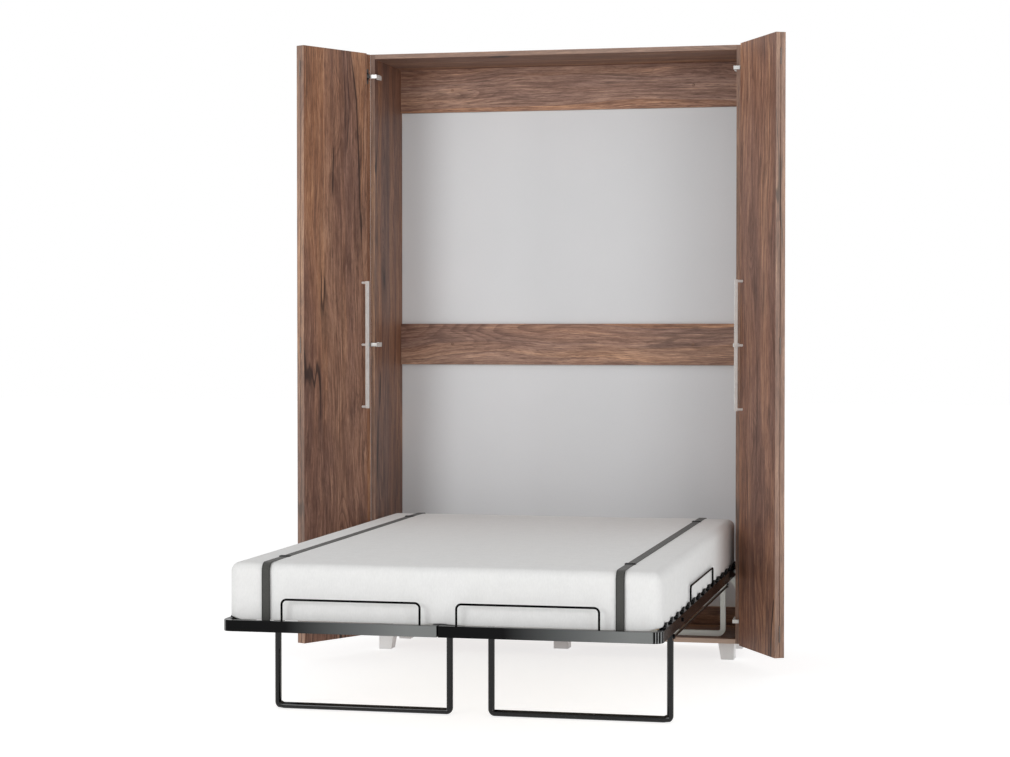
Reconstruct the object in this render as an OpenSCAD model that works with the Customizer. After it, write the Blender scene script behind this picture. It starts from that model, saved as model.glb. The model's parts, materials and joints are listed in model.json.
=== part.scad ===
// Wall bed with four folding door leaves, lowered for the night.
// Lengths are millimetres and +Z is up. The cabinet stands at +Y and the bed comes down towards -Y.
// The origin is on the floor, in the middle of the whole footprint.

/* [Mattress] */
// Width of the mattress
mattress_w = 1400; // [1200:10:1430]
// Length of the mattress
mattress_l = 2000; // [1950:10:2050]
// Thickness of the mattress at its edge
mattress_t = 175; // [120:5:190]
// Radius of the mattress corners, seen from above
mattress_corner_r = 60; // [40:5:90]
// Radius of the mattress edges
mattress_edge_r = 28; // [15:1:45]
// Rise of the mattress top towards its middle
mattress_crown = 6; // [0:1:15]
// Depth by which the mattress sides are drawn in
mattress_waist = 3; // [0:1:8]

/* [Cabinet] */
// Height of the cabinet with its feet
cabinet_h = 2372; // [2330:1:2600]
// Depth of the cabinet
cabinet_d = 420; // [380:1:600]
// Thickness of the cabinet boards
board_t = 18; // [16:1:25]
// Thickness of the back panel
back_t = 3; // [3:1:8]
// Width of the rebate that takes the back panel
back_lap = 8; // [4:1:12]
// Space between the bed frame and each side panel
side_gap = 12; // [12:1:30]
// Height of the upper rail
upper_rail_h = 178; // [120:1:250]
// Height of the middle rail
middle_rail_h = 168; // [120:1:250]
// Height of the lower rail
lower_rail_h = 73; // [60:1:110]
// Height of the middle rail's centre line above the floor
middle_rail_z = 1219; // [1000:1:1400]
// Distance of the wall fixing holes from the side panels
wall_hole_inset = 220; // [120:10:500]
// Radius of the wall fixing holes
wall_hole_r = 4; // [3:0.5:6]

/* [Feet] */
// Height of the feet
foot_h = 67; // [40:1:90]
// Length of the feet, front to back
foot_l = 60; // [40:1:80]
// Width of a corner foot at its top
foot_top_w = 62; // [50:1:80]
// Width of a corner foot on the floor
foot_floor_w = 50; // [30:1:50]
// Distance of the front feet from the cabinet front
foot_setback = 25; // [10:1:60]
// Distance of the corner feet from the side panels
foot_inset = 8; // [2:1:20]

/* [Doors] */
// Thickness of the door leaves
door_t = 18; // [16:1:22]
// Width by which the outer leaf of a door is narrower than the inner one
leaf_step = 41; // [36:1:80]
// Gap between the two leaves of a door
fold_gap = 2; // [2:0.5:4]
// Gap between the door pair at the cabinet's middle
meeting_gap = 6; // [2:1:10]
// Gap between the closed doors and the cabinet front
door_gap = 0.8; // [0.5:0.1:0.9]
// Angle of the open doors past square to the front
door_splay = 28.5; // [10:0.5:60]
// Distance of the end hinges from the ends of a leaf
hinge_inset = 88; // [60:1:200]

/* [Handles] */
// Length of a handle
handle_l = 502; // [300:1:700]
// Width of the handle bar
handle_w = 12; // [8:1:16]
// Thickness of the handle bar
handle_t = 10; // [6:1:14]
// Free height under the handle bar
handle_reach = 22; // [20:1:35]
// Distance of the handle bar from the leaf's free edge
handle_edge = 20; // [12:1:60]
// Distance between the handle posts
handle_pitch = 245; // [120:1:245]
// Radius of the handle posts
handle_post_r = 5; // [3:0.5:5]
// Height of the handle's centre above the floor
handle_z = 1219.5; // [900:0.5:1500]

/* [Bed frame] */
// Height of the frame's underside above the floor
bed_z = 320; // [300:1:345]
// Height of the frame tubes
rail_h = 36; // [34:1:50]
// Width of the frame tubes
rail_w = 20; // [20:1:24]
// Wall of the frame tubes
rail_wall = 1.5; // [1.2:0.1:3]
// Outer radius of the frame's front corners
frame_corner_r = 30; // [26:1:60]
// Part of the frame beside the mattress, each side
frame_margin = 8; // [8:1:12]
// Distance from the frame's front to the mattress
front_space = 38; // [34:1:60]
// Distance from the frame's tail to the mattress
tail_space = 24; // [20:1:24]
// Length of the frame behind its pivot
tail_l = 129; // [100:1:140]
// Gap between the two halves of the frame
frame_split = 4; // [2:1:6]
// Width of the flat cross bars
cross_w = 40; // [25:1:60]
// Thickness of the flat cross bars
cross_t = 5; // [3:0.5:5]

/* [Slats] */
// Distance between the slats
slat_pitch = 132; // [110:1:150]
// Width of a slat
slat_w = 53; // [40:1:60]
// Thickness of a slat
slat_t = 8; // [6:1:8]
// Length of a slat holder
holder_l = 55; // [40:1:70]
// Wall of a slat holder
holder_t = 2; // [1:0.5:2]
// Height of a side holder's cap above the rail
holder_cap_h = 18; // [8:1:25]

/* [Stand] */
// Side of the stand's square tube
stand_tube = 20; // [18:1:20]
// Wall of the stand's tube
stand_wall = 1.5; // [1:0.1:3]
// Distance of the stand from the cabinet front
stand_setback = 73; // [70:1:90]
// Gap between the stand and the side rails
stand_gap = 15; // [15:0.5:20]
// Outer bend radius of the stand
stand_bend = 30; // [22:1:60]
// Radius of the pivot bolts
pivot_bolt_r = 5; // [3:0.5:6]

/* [Legs and links] */
// Distance from the frame's front to the leg pivot
leg_setback = 455; // [430:1:500]
// Radius of the leg tube
leg_r = 11; // [8:0.5:11]
// Wall of the leg tube
leg_wall = 1.5; // [1:0.1:3]
// Bend radius of the leg tube's centre line
leg_bend = 22; // [18:1:40]
// Distance of the inner leg posts from the middle
leg_inner_x = 71; // [60:1:200]
// Radius of the leg bolts
leg_bolt_r = 4; // [3:0.5:5]
// Distance of the link pins below the pivots
link_drop = 53; // [45:1:60]
// Distance of the link pins in front of the pivots
link_lead = 20; // [20:1:24]
// Height of the link rods
link_h = 8; // [6:1:12]
// Thickness of the link rods
link_t = 4.5; // [3:0.5:4.5]
// Radius of the link pins
link_pin_r = 4; // [3:0.5:5]

/* [Gas springs] */
// Radius of a gas spring's cylinder
gas_r = 11; // [8:0.5:11]
// Radius of a gas spring's rod
gas_rod_r = 5; // [3:0.5:6]
// Length of a gas spring's cylinder
gas_l = 157; // [150:1:200]
// Distance of the gas springs from the middle
gas_x = 38; // [38:1:50]
// Distance of the upper gas spring pin from the bed pivot
gas_arm = 200; // [180:1:230]
// Height of the lower gas spring pin above the bottom panel
gas_foot_z = 35; // [34:1:45]

/* [Hoops] */
// Wire radius of the hoops at the front and the head
front_hoop_r = 3.5; // [3:0.5:5]
// Height of the front hoops above the frame
front_hoop_h = 72; // [40:1:90]
// Distance of a front hoop's inner post from the middle
front_hoop_x = 59; // [40:1:120]
// Distance of a front hoop's outer post from the frame's side
front_hoop_side = 197; // [150:1:400]
// Wire radius of the side hoops
side_hoop_r = 3.5; // [2.5:0.5:3.5]
// Height of the side hoops above the frame
side_hoop_h = 70; // [40:1:90]
// Number of slats behind a side hoop's rear post
side_hoop_slat = 5; // [3:1:6]
// Number of slat spaces that a side hoop spans
side_hoop_spaces = 5; // [3:1:6]
// Distance of a side hoop's posts from the slat holders
side_hoop_clear = 6.5; // [5:0.5:12]
// Bend radius of the hoops' centre line
hoop_bend = 16; // [10:1:30]

/* [Straps] */
// Width of the straps
strap_w = 28; // [20:1:50]
// Thickness of the straps
strap_t = 1.5; // [1:0.1:3]
// Distance of the straps from the mattress sides
strap_inset = 128; // [115:1:170]
// Distance of the front sliders from the mattress front
front_slider = 197; // [80:1:400]
// Distance of the rear sliders from the mattress rear
rear_slider = 211; // [80:1:400]

/* [Hidden] */
$fn = 48;

// Clearances: of a pin in its bore, between parts that turn side by side, and of soft parts
fit = 0.05;
run = 0.3;
soft_gap = 0.3;
// Length by which a cut runs past the face that it opens
past = 1;

// Bed frame, in the cabinet's own frame: y is 0 at the cabinet front and falls towards the foot end
frame_half = mattress_w / 2 + frame_margin;
rail_in = frame_half - rail_w;
frame_l = mattress_l + front_space + tail_space;
pivot_y = stand_setback + stand_tube / 2;
tail_y = pivot_y + tail_l;
front_y = tail_y - frame_l;
rail_top = bed_z + rail_h;
pivot_z = bed_z + rail_h / 2;
centre_in = frame_split / 2;
centre_out = centre_in + rail_w;
mattress_y = front_y + front_space;
leg_y = front_y + leg_setback;
pivot = [pivot_y, pivot_z];
leg_pivot = [leg_y, pivot_z];

// Cabinet: the inner width follows the bed frame
half_in = frame_half + side_gap;
half_out = half_in + board_t;
back_y = cabinet_d - back_t;
rail_y = back_y - board_t;
floor_z = foot_h + board_t;
roof_z = cabinet_h - board_t;
wall_hole_x = half_in - wall_hole_inset;
upper_rail_z = roof_z - upper_rail_h / 2;
lower_rail_z = floor_z + lower_rail_h / 2;
body_mid_z = (foot_h + cabinet_h) / 2;
// Distance of the cabinet front from the middle of the footprint
cabinet_y = -(front_y + cabinet_d) / 2;

// Pairs of limits: about a middle, from a start, grown at both ends, and moved
function around(mid, half) = [mid - half, mid + half];
function upto(start, length) = [start, start + length];
function wider(pair, by) = [pair[0] - by, pair[1] + by];
function shifted(pair, by) = [pair[0] + by, pair[1] + by];

// Screws through the side panels into the boards
screw_r = 3.5;
screw_l = 50;
screw_head_r = 5;
screw_head_h = 4;
screw_inset = 60;
function pair_at(y_list, z_list) = [for (y = y_list) for (z = z_list) [y, z]];
panel_screw_ys = [screw_inset, cabinet_d - screw_inset];
top_screws = pair_at(panel_screw_ys, [cabinet_h - board_t / 2]);
bottom_screws = pair_at(panel_screw_ys, [foot_h + board_t / 2]);
upper_screws = pair_at([rail_y + board_t / 2], around(upper_rail_z, upper_rail_h / 4));
middle_screws = pair_at([rail_y + board_t / 2], around(middle_rail_z, middle_rail_h / 4));
lower_screws = pair_at([rail_y + board_t / 2], [lower_rail_z]);
all_screws = concat(top_screws, bottom_screws, upper_screws, middle_screws, lower_screws);

// Stand and its screws
stand_half = rail_in - stand_gap;
stand_y = [stand_setback, stand_setback + stand_tube];
stand_screw_x = stand_half - 223;
stand_screw_xs = [for (k = [-1, -1 / 3, 1 / 3, 1]) k * stand_screw_x];
stand_screw_r = 3;
stand_screw_l = 34;
stand_head_r = 5.5;
stand_head_h = 3;
rest_l = 22;
rest_gap = 13;
rest_h = 50;
rest_lip = 6;
bolt_head_r = 8;
bolt_head_h = 5;
nut_h = 7.5;
sleeve_wall = 2;

// Links: a lug on the stand and one on each leg, with a collared pin in the rod's eye
lug_t = 4;
lug_h = 28;
lug_l = 38;
pin_collar_r = 6;
pin_head_t = 1.8;
link_x = stand_half + 2 * lug_t;
link_eye_r = 8;
link_foot = pivot - [link_lead, link_drop];
link_front = leg_pivot - [link_lead, link_drop];

// Legs
leg_outer_x = stand_half + lug_t + 2 - leg_r;
leg_mid_x = (leg_outer_x + leg_inner_x) / 2;
leg_rise = pivot_z - leg_r;
leg_head_h = 4.5;
leg_plug = 18;
vent_r = 2.5;

// Gas springs lean from the stand's foot to the centre rails
gas_foot = [pivot_y, floor_z + gas_foot_z];
gas_head = [pivot_y - gas_arm, pivot_z];
gas_span = norm(gas_head - gas_foot);
gas_tilt = atan2(gas_foot[0] - gas_head[0], gas_head[1] - gas_foot[1]);
gas_eye_r = 9;
gas_eye_t = 10;
gas_eye = around(0, gas_eye_t / 2);
gas_eye_in = gas_x - gas_eye_t / 2;
gas_pin_r = 4;
gas_neck = 18;
gas_wall = 2;
gas_rod_start = 30;
gas_lug_t = 4;

// Slats lie in rows on ledges of the holders, which hang over the rails
slat_seat = rail_top - 4;
slat_top = slat_seat + slat_t;
holder_top = slat_top - 0.5;
slat_end_gap = 0.2;
slat_xs = [centre_out + holder_t, rail_in - holder_t];
slat_tail = 99;
slat_first = tail_y - slat_tail;
slat_count = floor((mattress_l - 2 * slat_w) / slat_pitch) + 1;
slat_ys = [for (k = [0:slat_count - 1]) slat_first - k * slat_pitch];
ledge_w = 7.5;
holder_cap_w = frame_margin - 1;
slat_near_leg = max([for (y = slat_ys) if (y < leg_y) y]);
cross_y = slat_near_leg + slat_pitch / 2;
centre_bolt_front = 150;
centre_bolt_rear = 50;
head_bar_w = 27;

// Mattress: rings of a rounded rectangle, each drawn in by an inset, from its base to its crown
corner_steps = 8;
edge_steps = 3;
crown_rings = 6;
crown_flat = 10;
crown_span = mattress_w / 2 - mattress_edge_r - crown_flat;
mattress_top = slat_top + mattress_t;
function crown_at(inset) = mattress_crown * sin(90 * (inset - mattress_edge_r) / crown_span);
edge_arc = [for (k = [0:edge_steps]) 90 * k / edge_steps];
base_levels = [for (a = edge_arc) mattress_edge_r * [1 - sin(a), 1 - cos(a)]];
waist_levels = [[mattress_waist, mattress_t / 2]];
top_levels = [for (a = edge_arc) [0, mattress_t] + mattress_edge_r * [1 - cos(a), sin(a) - 1]];
crown_levels = [for (k = [1:crown_rings]) let (inset = mattress_edge_r + crown_span * k / crown_rings)
    [inset, mattress_t + crown_at(inset)]];
levels = concat(base_levels, waist_levels, top_levels, crown_levels);

// Hoops: a front hoop's middle and width, and a side hoop's length and the middle of its length
front_hoop_w = frame_half - front_hoop_side - front_hoop_x;
side_hoop_l = side_hoop_spaces * slat_pitch - holder_l - 2 * side_hoop_clear;
side_hoop_y = slat_first - (side_hoop_slat + side_hoop_spaces / 2) * slat_pitch;
head_hoop_inset = 14;

// Straps lie over the mattress, clear of its crown
strap_x = mattress_w / 2 - strap_inset;
strap_clear = crown_at(mattress_w / 2 - strap_x + strap_w / 2) + soft_gap;
strap_z = mattress_top + max(strap_clear, soft_gap);
strap_rear_y = mattress_y + mattress_l + soft_gap;
strap_front_y = mattress_y - soft_gap;
anchor_t = 3;
anchor_w = 40;
anchor_z = rail_top - 6;
slider_l = 22;
slider_t = 3;

// Doors: x runs along a leaf from its hinge, y from the leaf's back face towards the bed
inner_leaf_w = (half_out + leaf_step - fold_gap - meeting_gap / 2) / 2;
leaf_z = [foot_h, cabinet_h];
hinge_zs = [foot_h + hinge_inset, body_mid_z, cabinet_h - hinge_inset];
fold_axis = [inner_leaf_w + fold_gap / 2, fold_gap / 2];
cup_r = 17.5;
cup_depth = 12;
cup_x = 23;
knuckle_x = [14, 30];
knuckle_h = 10;
flange_x = [12, 34];
flange_t = 1.2;
flange_z = 22;
flange_half = 7;
arm_t = 10.5;
arm_y = [20, 62];
arm_half = 9;
nose_reach = 12;
nose_half = 7;
barrel_r = 2.5;
barrel_notch = 0.5;
fold_half = 30;
fold_mid = 10;
fold_leaf_w = 22;
fold_leaf_t = 0.9;
fold_pin_r = 1.2;

walnut = "#6b5040";
panel_grey = "#c4c4c2";
black_steel = "#17181a";
grey_steel = "#b4b6b8";
white_cloth = "#e6e6e2";
strap_grey = "#56564f";
beech = "#d8c096";
black_plastic = "#1c1c1e";
nickel = "#b9b6ae";
foot_grey = "#bfc1c2";

// Puts children that are drawn from the cabinet front into the part's own frame
module at_cabinet() translate([0, cabinet_y, 0]) children();

// Draws children on the right (1) or mirrored on the left (-1), or on both
module side(s)
    if (s < 0) mirror([1, 0, 0]) children();
    else children();

module both() for (s = [-1, 1]) side(s) children();

// A box from pairs of limits
module block(x, y, z)
    translate([x[0], y[0], z[0]]) cube([x[1] - x[0], y[1] - y[0], z[1] - z[0]]);

// Round bars between two limits: across the bed at [y, z], along it at [x, z], upright at [x, y]
module bar_x(x, at, r) translate([x[0], at[0], at[1]]) rotate([0, 90, 0]) cylinder(h = x[1] - x[0], r = r);
module bar_y(y, at, r) translate([at[0], y[0], at[1]]) rotate([-90, 0, 0]) cylinder(h = y[1] - y[0], r = r);
module bar_z(z, at, r) translate([at[0], at[1], z[0]]) cylinder(h = z[1] - z[0], r = r);

// A hexagon head or nut across the bed
module hex_x(x, at, r)
    translate([x[0], at[0], at[1]]) rotate([0, 90, 0]) cylinder(h = x[1] - x[0], r = r, $fn = 6);

// Outlines in a side view (y, z) or a front view (x, z), extruded between two limits
module slab_x(x) translate([x[0], 0, 0]) rotate([90, 0, 90]) linear_extrude(x[1] - x[0]) children();
module slab_y(y) translate([0, y[1], 0]) rotate([90, 0, 0]) linear_extrude(y[1] - y[0]) children();
module slab_z(z) translate([0, 0, z[0]]) linear_extrude(z[1] - z[0]) children();

// A square from two opposite corners
module patch(from, to) translate(from) square(to - from);

// A U of square tube, seen from the front: two uprights with a bar and bends at the bottom
module u_outline(half, top, t, bend) {
    for (s = [-1, 1]) {
        translate([s * (half - t / 2) - t / 2, bend]) square([t, top - bend]);
        intersection() {
            translate([s * (half - bend), bend]) difference() {
                circle(bend);
                circle(bend - t);
            }
            translate([s > 0 ? half - bend : -half, 0]) square(bend);
        }
    }
    translate([bend - half, 0]) square([2 * (half - bend), t]);
}

// An arch of round wire or tube: two posts from a start height, two bends and a bar at the rise
module bent_u(span, rise, r, bend, start = 0) {
    for (s = [-1, 1]) side(s) {
        translate([span / 2, 0, start]) cylinder(h = rise - bend - start, r = r);
        translate([span / 2 - bend, 0, rise - bend]) rotate([90, 0, 0])
            rotate_extrude(angle = 90) translate([bend, 0]) circle(r);
    }
    bar_x([bend - span / 2, span / 2 - bend], [0, rise], r);
}

// Screws that hold the side panels, or their holes with a clearance and open ends
module panel_screws(places, clear = 0, open = 0) both() for (p = places) {
    bar_x([half_out - screw_l - open, half_out], p, screw_r + clear);
    bar_x([half_out - screw_head_h, half_out + open], p, screw_head_r + clear);
}

module wall_holes() for (x = [-wall_hole_x, wall_hole_x]) for (z = [upper_rail_z, middle_rail_z])
    bar_y([rail_y - past, cabinet_d + past], [x, z], wall_hole_r);

module side_panel(s) at_cabinet() side(s) color(walnut) difference() {
    block([half_in, half_out], [0, cabinet_d], leaf_z);
    block([half_in - past, half_in + back_lap], [back_y, cabinet_d + past],
          [foot_h - past, cabinet_h + past]);
    panel_screws(all_screws, fit, past);
}

// A board between the side panels, drilled for its screws
module board(y, z, screws) difference() {
    block([-half_in, half_in], y, z);
    panel_screws(screws, fit, past);
}

module top_panel() at_cabinet() color(walnut) board([0, back_y], [roof_z, cabinet_h], top_screws);

module bottom_panel() at_cabinet() color(walnut) difference() {
    board([0, back_y], [foot_h, floor_z], bottom_screws);
    stand_screw_set(fit, past);
}

module cabinet_rail(mid, h, screws) difference() {
    board([rail_y, back_y], [mid - h / 2, mid + h / 2], screws);
    wall_holes();
}

module upper_rail() at_cabinet() color(walnut) cabinet_rail(upper_rail_z, upper_rail_h, upper_screws);
module middle_rail() at_cabinet() color(walnut) cabinet_rail(middle_rail_z, middle_rail_h, middle_screws);
module lower_rail() at_cabinet() color(walnut) cabinet_rail(lower_rail_z, lower_rail_h, lower_screws);

module back_panel() at_cabinet() color(panel_grey) difference() {
    block([-half_in - back_lap, half_in + back_lap], [back_y, cabinet_d], leaf_z);
    wall_holes();
}

// Corner feet taper on their inner side; the one in the middle is square
module feet() at_cabinet() color(foot_grey) {
    foot_out = half_in - foot_inset;
    rear_foot = back_y - foot_setback - foot_l;
    both() for (y = [foot_setback, rear_foot]) slab_y([y, y + foot_l])
        polygon([[foot_out, 0], [foot_out, foot_h], [foot_out - foot_top_w, foot_h],
                 [foot_out - foot_floor_w, 0]]);
    mid_foot = (cabinet_d - foot_l) / 2;
    block([-foot_l / 2, foot_l / 2], [mid_foot, mid_foot + foot_l], [0, foot_h]);
}

module carcass_screws() at_cabinet() color(nickel) panel_screws(all_screws);

// Screws through the stand into the bottom panel
module stand_screw_set(clear = 0, open = 0) for (x = stand_screw_xs) {
    top = floor_z + stand_tube;
    bar_z([top - stand_screw_l, top + open], [x, pivot_y], stand_screw_r + clear);
}

module stand_screws() at_cabinet() color(nickel) {
    stand_screw_set();
    for (x = stand_screw_xs)
        bar_z(upto(floor_z + stand_tube, stand_head_h), [x, pivot_y], stand_head_r);
}

// A pin with a collar and a head that holds a link rod's eye, standing on a face across the bed
module link_pin(face, at) {
    bar_x([face, link_x + link_t + run + pin_head_t], at, link_pin_r);
    bar_x([face, link_x - run], at, pin_collar_r);
    bar_x(upto(link_x + link_t + run, pin_head_t), at, pin_collar_r);
}

// A lug of the stand for the lower end of a gas spring, with its pin
module gas_lug() {
    face = gas_x + gas_r + 1;
    slab_x([face, face + gas_lug_t]) {
        patch([stand_y[0], floor_z + stand_tube], [stand_y[1], gas_foot[1]]);
        translate(gas_foot) circle(stand_tube / 2);
    }
    bar_x([gas_eye_in - run - 2, face], gas_foot, gas_pin_r);
    bar_x([gas_eye_in - run - 2, gas_eye_in - run], gas_foot, gas_pin_r + 2);
}

// A U of square tube that stands on the bottom panel and carries the bed pivots
module stand() at_cabinet() color(grey_steel) difference() {
    union() {
        slab_y(stand_y) translate([0, floor_z])
            u_outline(stand_half, pivot_z - floor_z, stand_tube, stand_bend);
        both() {
            bar_x([stand_half - stand_tube, stand_half], pivot, stand_tube / 2);
            slab_x([stand_half, stand_half + lug_t])
                patch([stand_y[1] - lug_l, link_foot[1] - lug_h / 2],
                      [stand_y[1], link_foot[1] + lug_h / 2]);
            link_pin(stand_half + lug_t, link_foot);
            gas_lug();
        }
    }
    slab_y(wider(stand_y, -stand_wall)) translate([0, floor_z + stand_wall])
        u_outline(stand_half - stand_wall, pivot_z - floor_z - stand_wall - stand_tube,
                  stand_tube - 2 * stand_wall, stand_bend - stand_wall);
    both() bar_x([stand_half - stand_tube - past, stand_half + past], pivot, pivot_bolt_r + fit);
    stand_screw_set(fit, past);
    bar_y([pivot_y, stand_y[1] + past], [0, floor_z + stand_tube / 2], vent_r);
}

// Brackets on the side panels, on which the side rails rest
module rest_brackets() at_cabinet() color(grey_steel) both()
    slab_y(upto(stand_y[0] - rest_l - rest_gap, rest_l)) polygon([
        [half_in, bed_z - rest_h], [half_in, bed_z - run], [rail_in + 2, bed_z - run],
        [rail_in + 2, bed_z - rest_lip]
    ]);

// Arms of the cup hinges: a plate on the side panel with a cranked nose in front of its edge
module hinge_arms() at_cabinet() color(nickel) both() for (z = hinge_zs) {
    arm_z = around(z, arm_half);
    nose_z = around(z, nose_half);
    block([half_in - arm_t, half_in], arm_y, arm_z);
    block([half_in - arm_t, half_in - arm_t / 2], [-nose_reach / 4, arm_y[0]], nose_z);
    block([half_in - arm_t, half_out - 4], [-nose_reach, -nose_reach / 4], nose_z);
}

// A rectangular tube along the bed
module rail_tube(x, y) difference() {
    block(x, y, [bed_z, rail_top]);
    block(wider(x, -rail_wall), wider(y, past), wider([bed_z, rail_top], -rail_wall));
}

module side_rail(s) at_cabinet() side(s) color(black_steel) {
    x = [rail_in, frame_half];
    difference() {
        union() {
            rail_tube(x, [front_y + frame_corner_r, tail_y]);
            bar_x(x, pivot, pivot_bolt_r + 4);
            bar_x(x, leg_pivot, leg_bolt_r + 4);
        }
        bar_x(wider(x, past), pivot, pivot_bolt_r + fit);
        bar_x(wider(x, past), leg_pivot, leg_bolt_r + fit);
    }
}

// Bolts along the centre rails that join the two halves
centre_bolt_ys = [front_y + centre_bolt_front, (front_y + tail_y) / 2, tail_y - centre_bolt_rear];

module centre_rail(s) at_cabinet() side(s) color(black_steel) {
    x = [centre_in, centre_out];
    difference() {
        union() {
            rail_tube(x, [front_y + rail_w, tail_y]);
            bar_x(x, leg_pivot, leg_bolt_r + 4);
            for (y = centre_bolt_ys) bar_x(x, [y, pivot_z], leg_bolt_r + 4);
        }
        bar_x(wider(x, past), leg_pivot, leg_bolt_r + fit);
        for (y = centre_bolt_ys) bar_x(wider(x, past), [y, pivot_z], leg_bolt_r + fit);
    }
}

// Half of the front rail seen from above, with its rounded corner, drawn in by a wall
module front_outline(from, wall) {
    bend_x = frame_half - frame_corner_r;
    bend_y = front_y + frame_corner_r;
    patch([from, front_y + wall], [bend_x, front_y + rail_w - wall]);
    translate([bend_x, bend_y]) intersection() {
        difference() {
            circle(frame_corner_r - wall);
            circle(frame_corner_r - rail_w + wall);
        }
        translate([0, -frame_corner_r]) square(frame_corner_r);
    }
    if (wall > 0)
        patch([rail_in + wall, bend_y], [frame_half - wall, bend_y + past]);
}

module front_rail(s) at_cabinet() side(s) color(black_steel) difference() {
    slab_z([bed_z, rail_top]) front_outline(centre_in, 0);
    slab_z(wider([bed_z, rail_top], -rail_wall)) front_outline(centre_in + 3, rail_wall);
}

// Flat bars across each half, low enough for the slats and high enough for the folded legs
module cross_bars() at_cabinet() color(black_steel) both()
    for (y = [[cross_y - cross_w / 2, cross_y + cross_w / 2], [tail_y - head_bar_w, tail_y]])
        block([centre_out, rail_in], y, [rail_top - cross_t, rail_top]);

module slats() at_cabinet() color(beech) both() for (y = slat_ys)
    block(slat_xs, [y - slat_w / 2, y + slat_w / 2], [slat_seat, slat_top]);

module slat_holders_side() at_cabinet() color(black_plastic) both() for (y = slat_ys)
    slab_y([y - holder_l / 2, y + holder_l / 2]) {
        patch([rail_in - ledge_w, slat_seat - holder_t], [rail_in, slat_seat]);
        patch([rail_in - holder_t + slat_end_gap, slat_seat - holder_t], [rail_in, holder_top]);
        patch([rail_in - holder_t + slat_end_gap, rail_top], [frame_half - 0.5, holder_top]);
        patch([frame_half - 0.5 - holder_cap_w, rail_top], [frame_half - 0.5, rail_top + holder_cap_h]);
    }

module slat_holders_centre() at_cabinet() color(black_plastic) for (y = slat_ys)
    slab_y([y - holder_l / 2, y + holder_l / 2]) {
        patch([-centre_out, rail_top], [centre_out, holder_top]);
        for (s = [0, 1]) mirror([s, 0]) {
            patch([centre_out, slat_seat - holder_t], [centre_out + ledge_w, slat_seat]);
            patch([centre_out, slat_seat - holder_t], [centre_out + holder_t - slat_end_gap, holder_top]);
        }
    }

// A hoop at one end of the bed, standing on a bar at y
module end_hoop(y) translate([front_hoop_x + front_hoop_w / 2, y, rail_top])
    bent_u(front_hoop_w, front_hoop_h - front_hoop_r, front_hoop_r, hoop_bend);

module hoop_front(s) at_cabinet() side(s) color(black_steel) end_hoop(front_y + rail_w / 2);

module hoops_head() at_cabinet() color(black_steel) both() end_hoop(tail_y - head_hoop_inset);

module hoop_side(s) at_cabinet() side(s) color(black_steel)
    translate([frame_half - side_hoop_r - 0.2, side_hoop_y, rail_top])
        rotate([0, 0, 90]) bent_u(side_hoop_l, side_hoop_h - side_hoop_r, side_hoop_r, hoop_bend);

// One ring of the mattress at an inset and a height
function mattress_ring(level) = let (
    half = [mattress_w, mattress_l] / 2 - [level[0], level[0]],
    r = max(mattress_corner_r - level[0], 4)
) [for (q = [0:3]) for (k = [0:corner_steps]) let (
    a = 90 * (q + k / corner_steps),
    from = [q == 0 || q == 3 ? 1 : -1, q < 2 ? 1 : -1]
) [from[0] * (half[0] - r) + r * cos(a), from[1] * (half[1] - r) + r * sin(a), level[1]]];

module mattress() at_cabinet() color(white_cloth) {
    n = 4 * (corner_steps + 1);
    last = len(levels) - 1;
    bands = [for (k = [0:last - 1]) for (i = [0:n - 1]) let (j = (i + 1) % n)
        each [[k * n + i, (k + 1) * n + i, (k + 1) * n + j], [k * n + i, (k + 1) * n + j, k * n + j]]];
    base = [[for (i = [0:n - 1]) i]];
    cap = [[for (i = [0:n - 1]) last * n + n - 1 - i]];
    translate([0, mattress_y + mattress_l / 2, slat_top])
        polyhedron([for (level = levels) each mattress_ring(level)], concat(base, bands, cap));
}

// A strap's path in side view: up the mattress front, over its top and down behind it
module strap_outline(grow, low) {
    r = mattress_edge_r + grow;
    y = [strap_front_y - grow, strap_rear_y + grow];
    top = strap_z + grow;
    patch([y[0], low], [y[1], top - r]);
    patch([y[0] + r, low], [y[1] - r, top]);
    for (at = [y[0] + r, y[1] - r]) translate([at, top - r]) circle(r);
}

module strap(s) at_cabinet() side(s) color(strap_grey) difference() {
    slab_x(around(strap_x, strap_w / 2)) difference() {
        strap_outline(strap_t, anchor_z);
        strap_outline(0, anchor_z - past);
    }
    block([0, frame_half], [0, tail_y], [0, rail_top]);
}

// Buckles that slide on the straps, with a groove that takes the strap
module strap_sliders() at_cabinet() color(black_plastic) both()
    for (y = [mattress_y + front_slider, mattress_y + mattress_l - rear_slider]) difference() {
        block(around(strap_x, strap_w / 2 + slider_t), around(y, slider_l / 2),
              [strap_z + 0.2, strap_z + strap_t + slider_t]);
        block(around(strap_x, strap_w / 2), around(y, slider_l), [strap_z - past, strap_z + strap_t]);
    }

// Angles behind the front rail that hold the straps' ends, and plates on the head bar
module strap_anchors() at_cabinet() color(black_steel) both() {
    x = around(strap_x, anchor_w / 2);
    behind = front_y + rail_w;
    block(x, [behind, behind + anchor_t], [bed_z + 10, anchor_z]);
    block(x, [behind, mattress_y + 4], [anchor_z - anchor_t, anchor_z]);
    block(x, upto(strap_rear_y + strap_t, anchor_t), upto(rail_top, 20));
}

// Bolts through the side rails into the stand, each with a spacer sleeve and a nut
module pivot_bolts() at_cabinet() color(nickel) both() {
    nut_x = stand_half - stand_tube - run;
    hex_x(upto(frame_half, bolt_head_h), pivot, bolt_head_r);
    bar_x([nut_x - nut_h, frame_half], pivot, pivot_bolt_r);
    hex_x([nut_x - nut_h, nut_x], pivot, bolt_head_r);
    bar_x([stand_half + run, rail_in], pivot, pivot_bolt_r + sleeve_wall);
}

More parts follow.
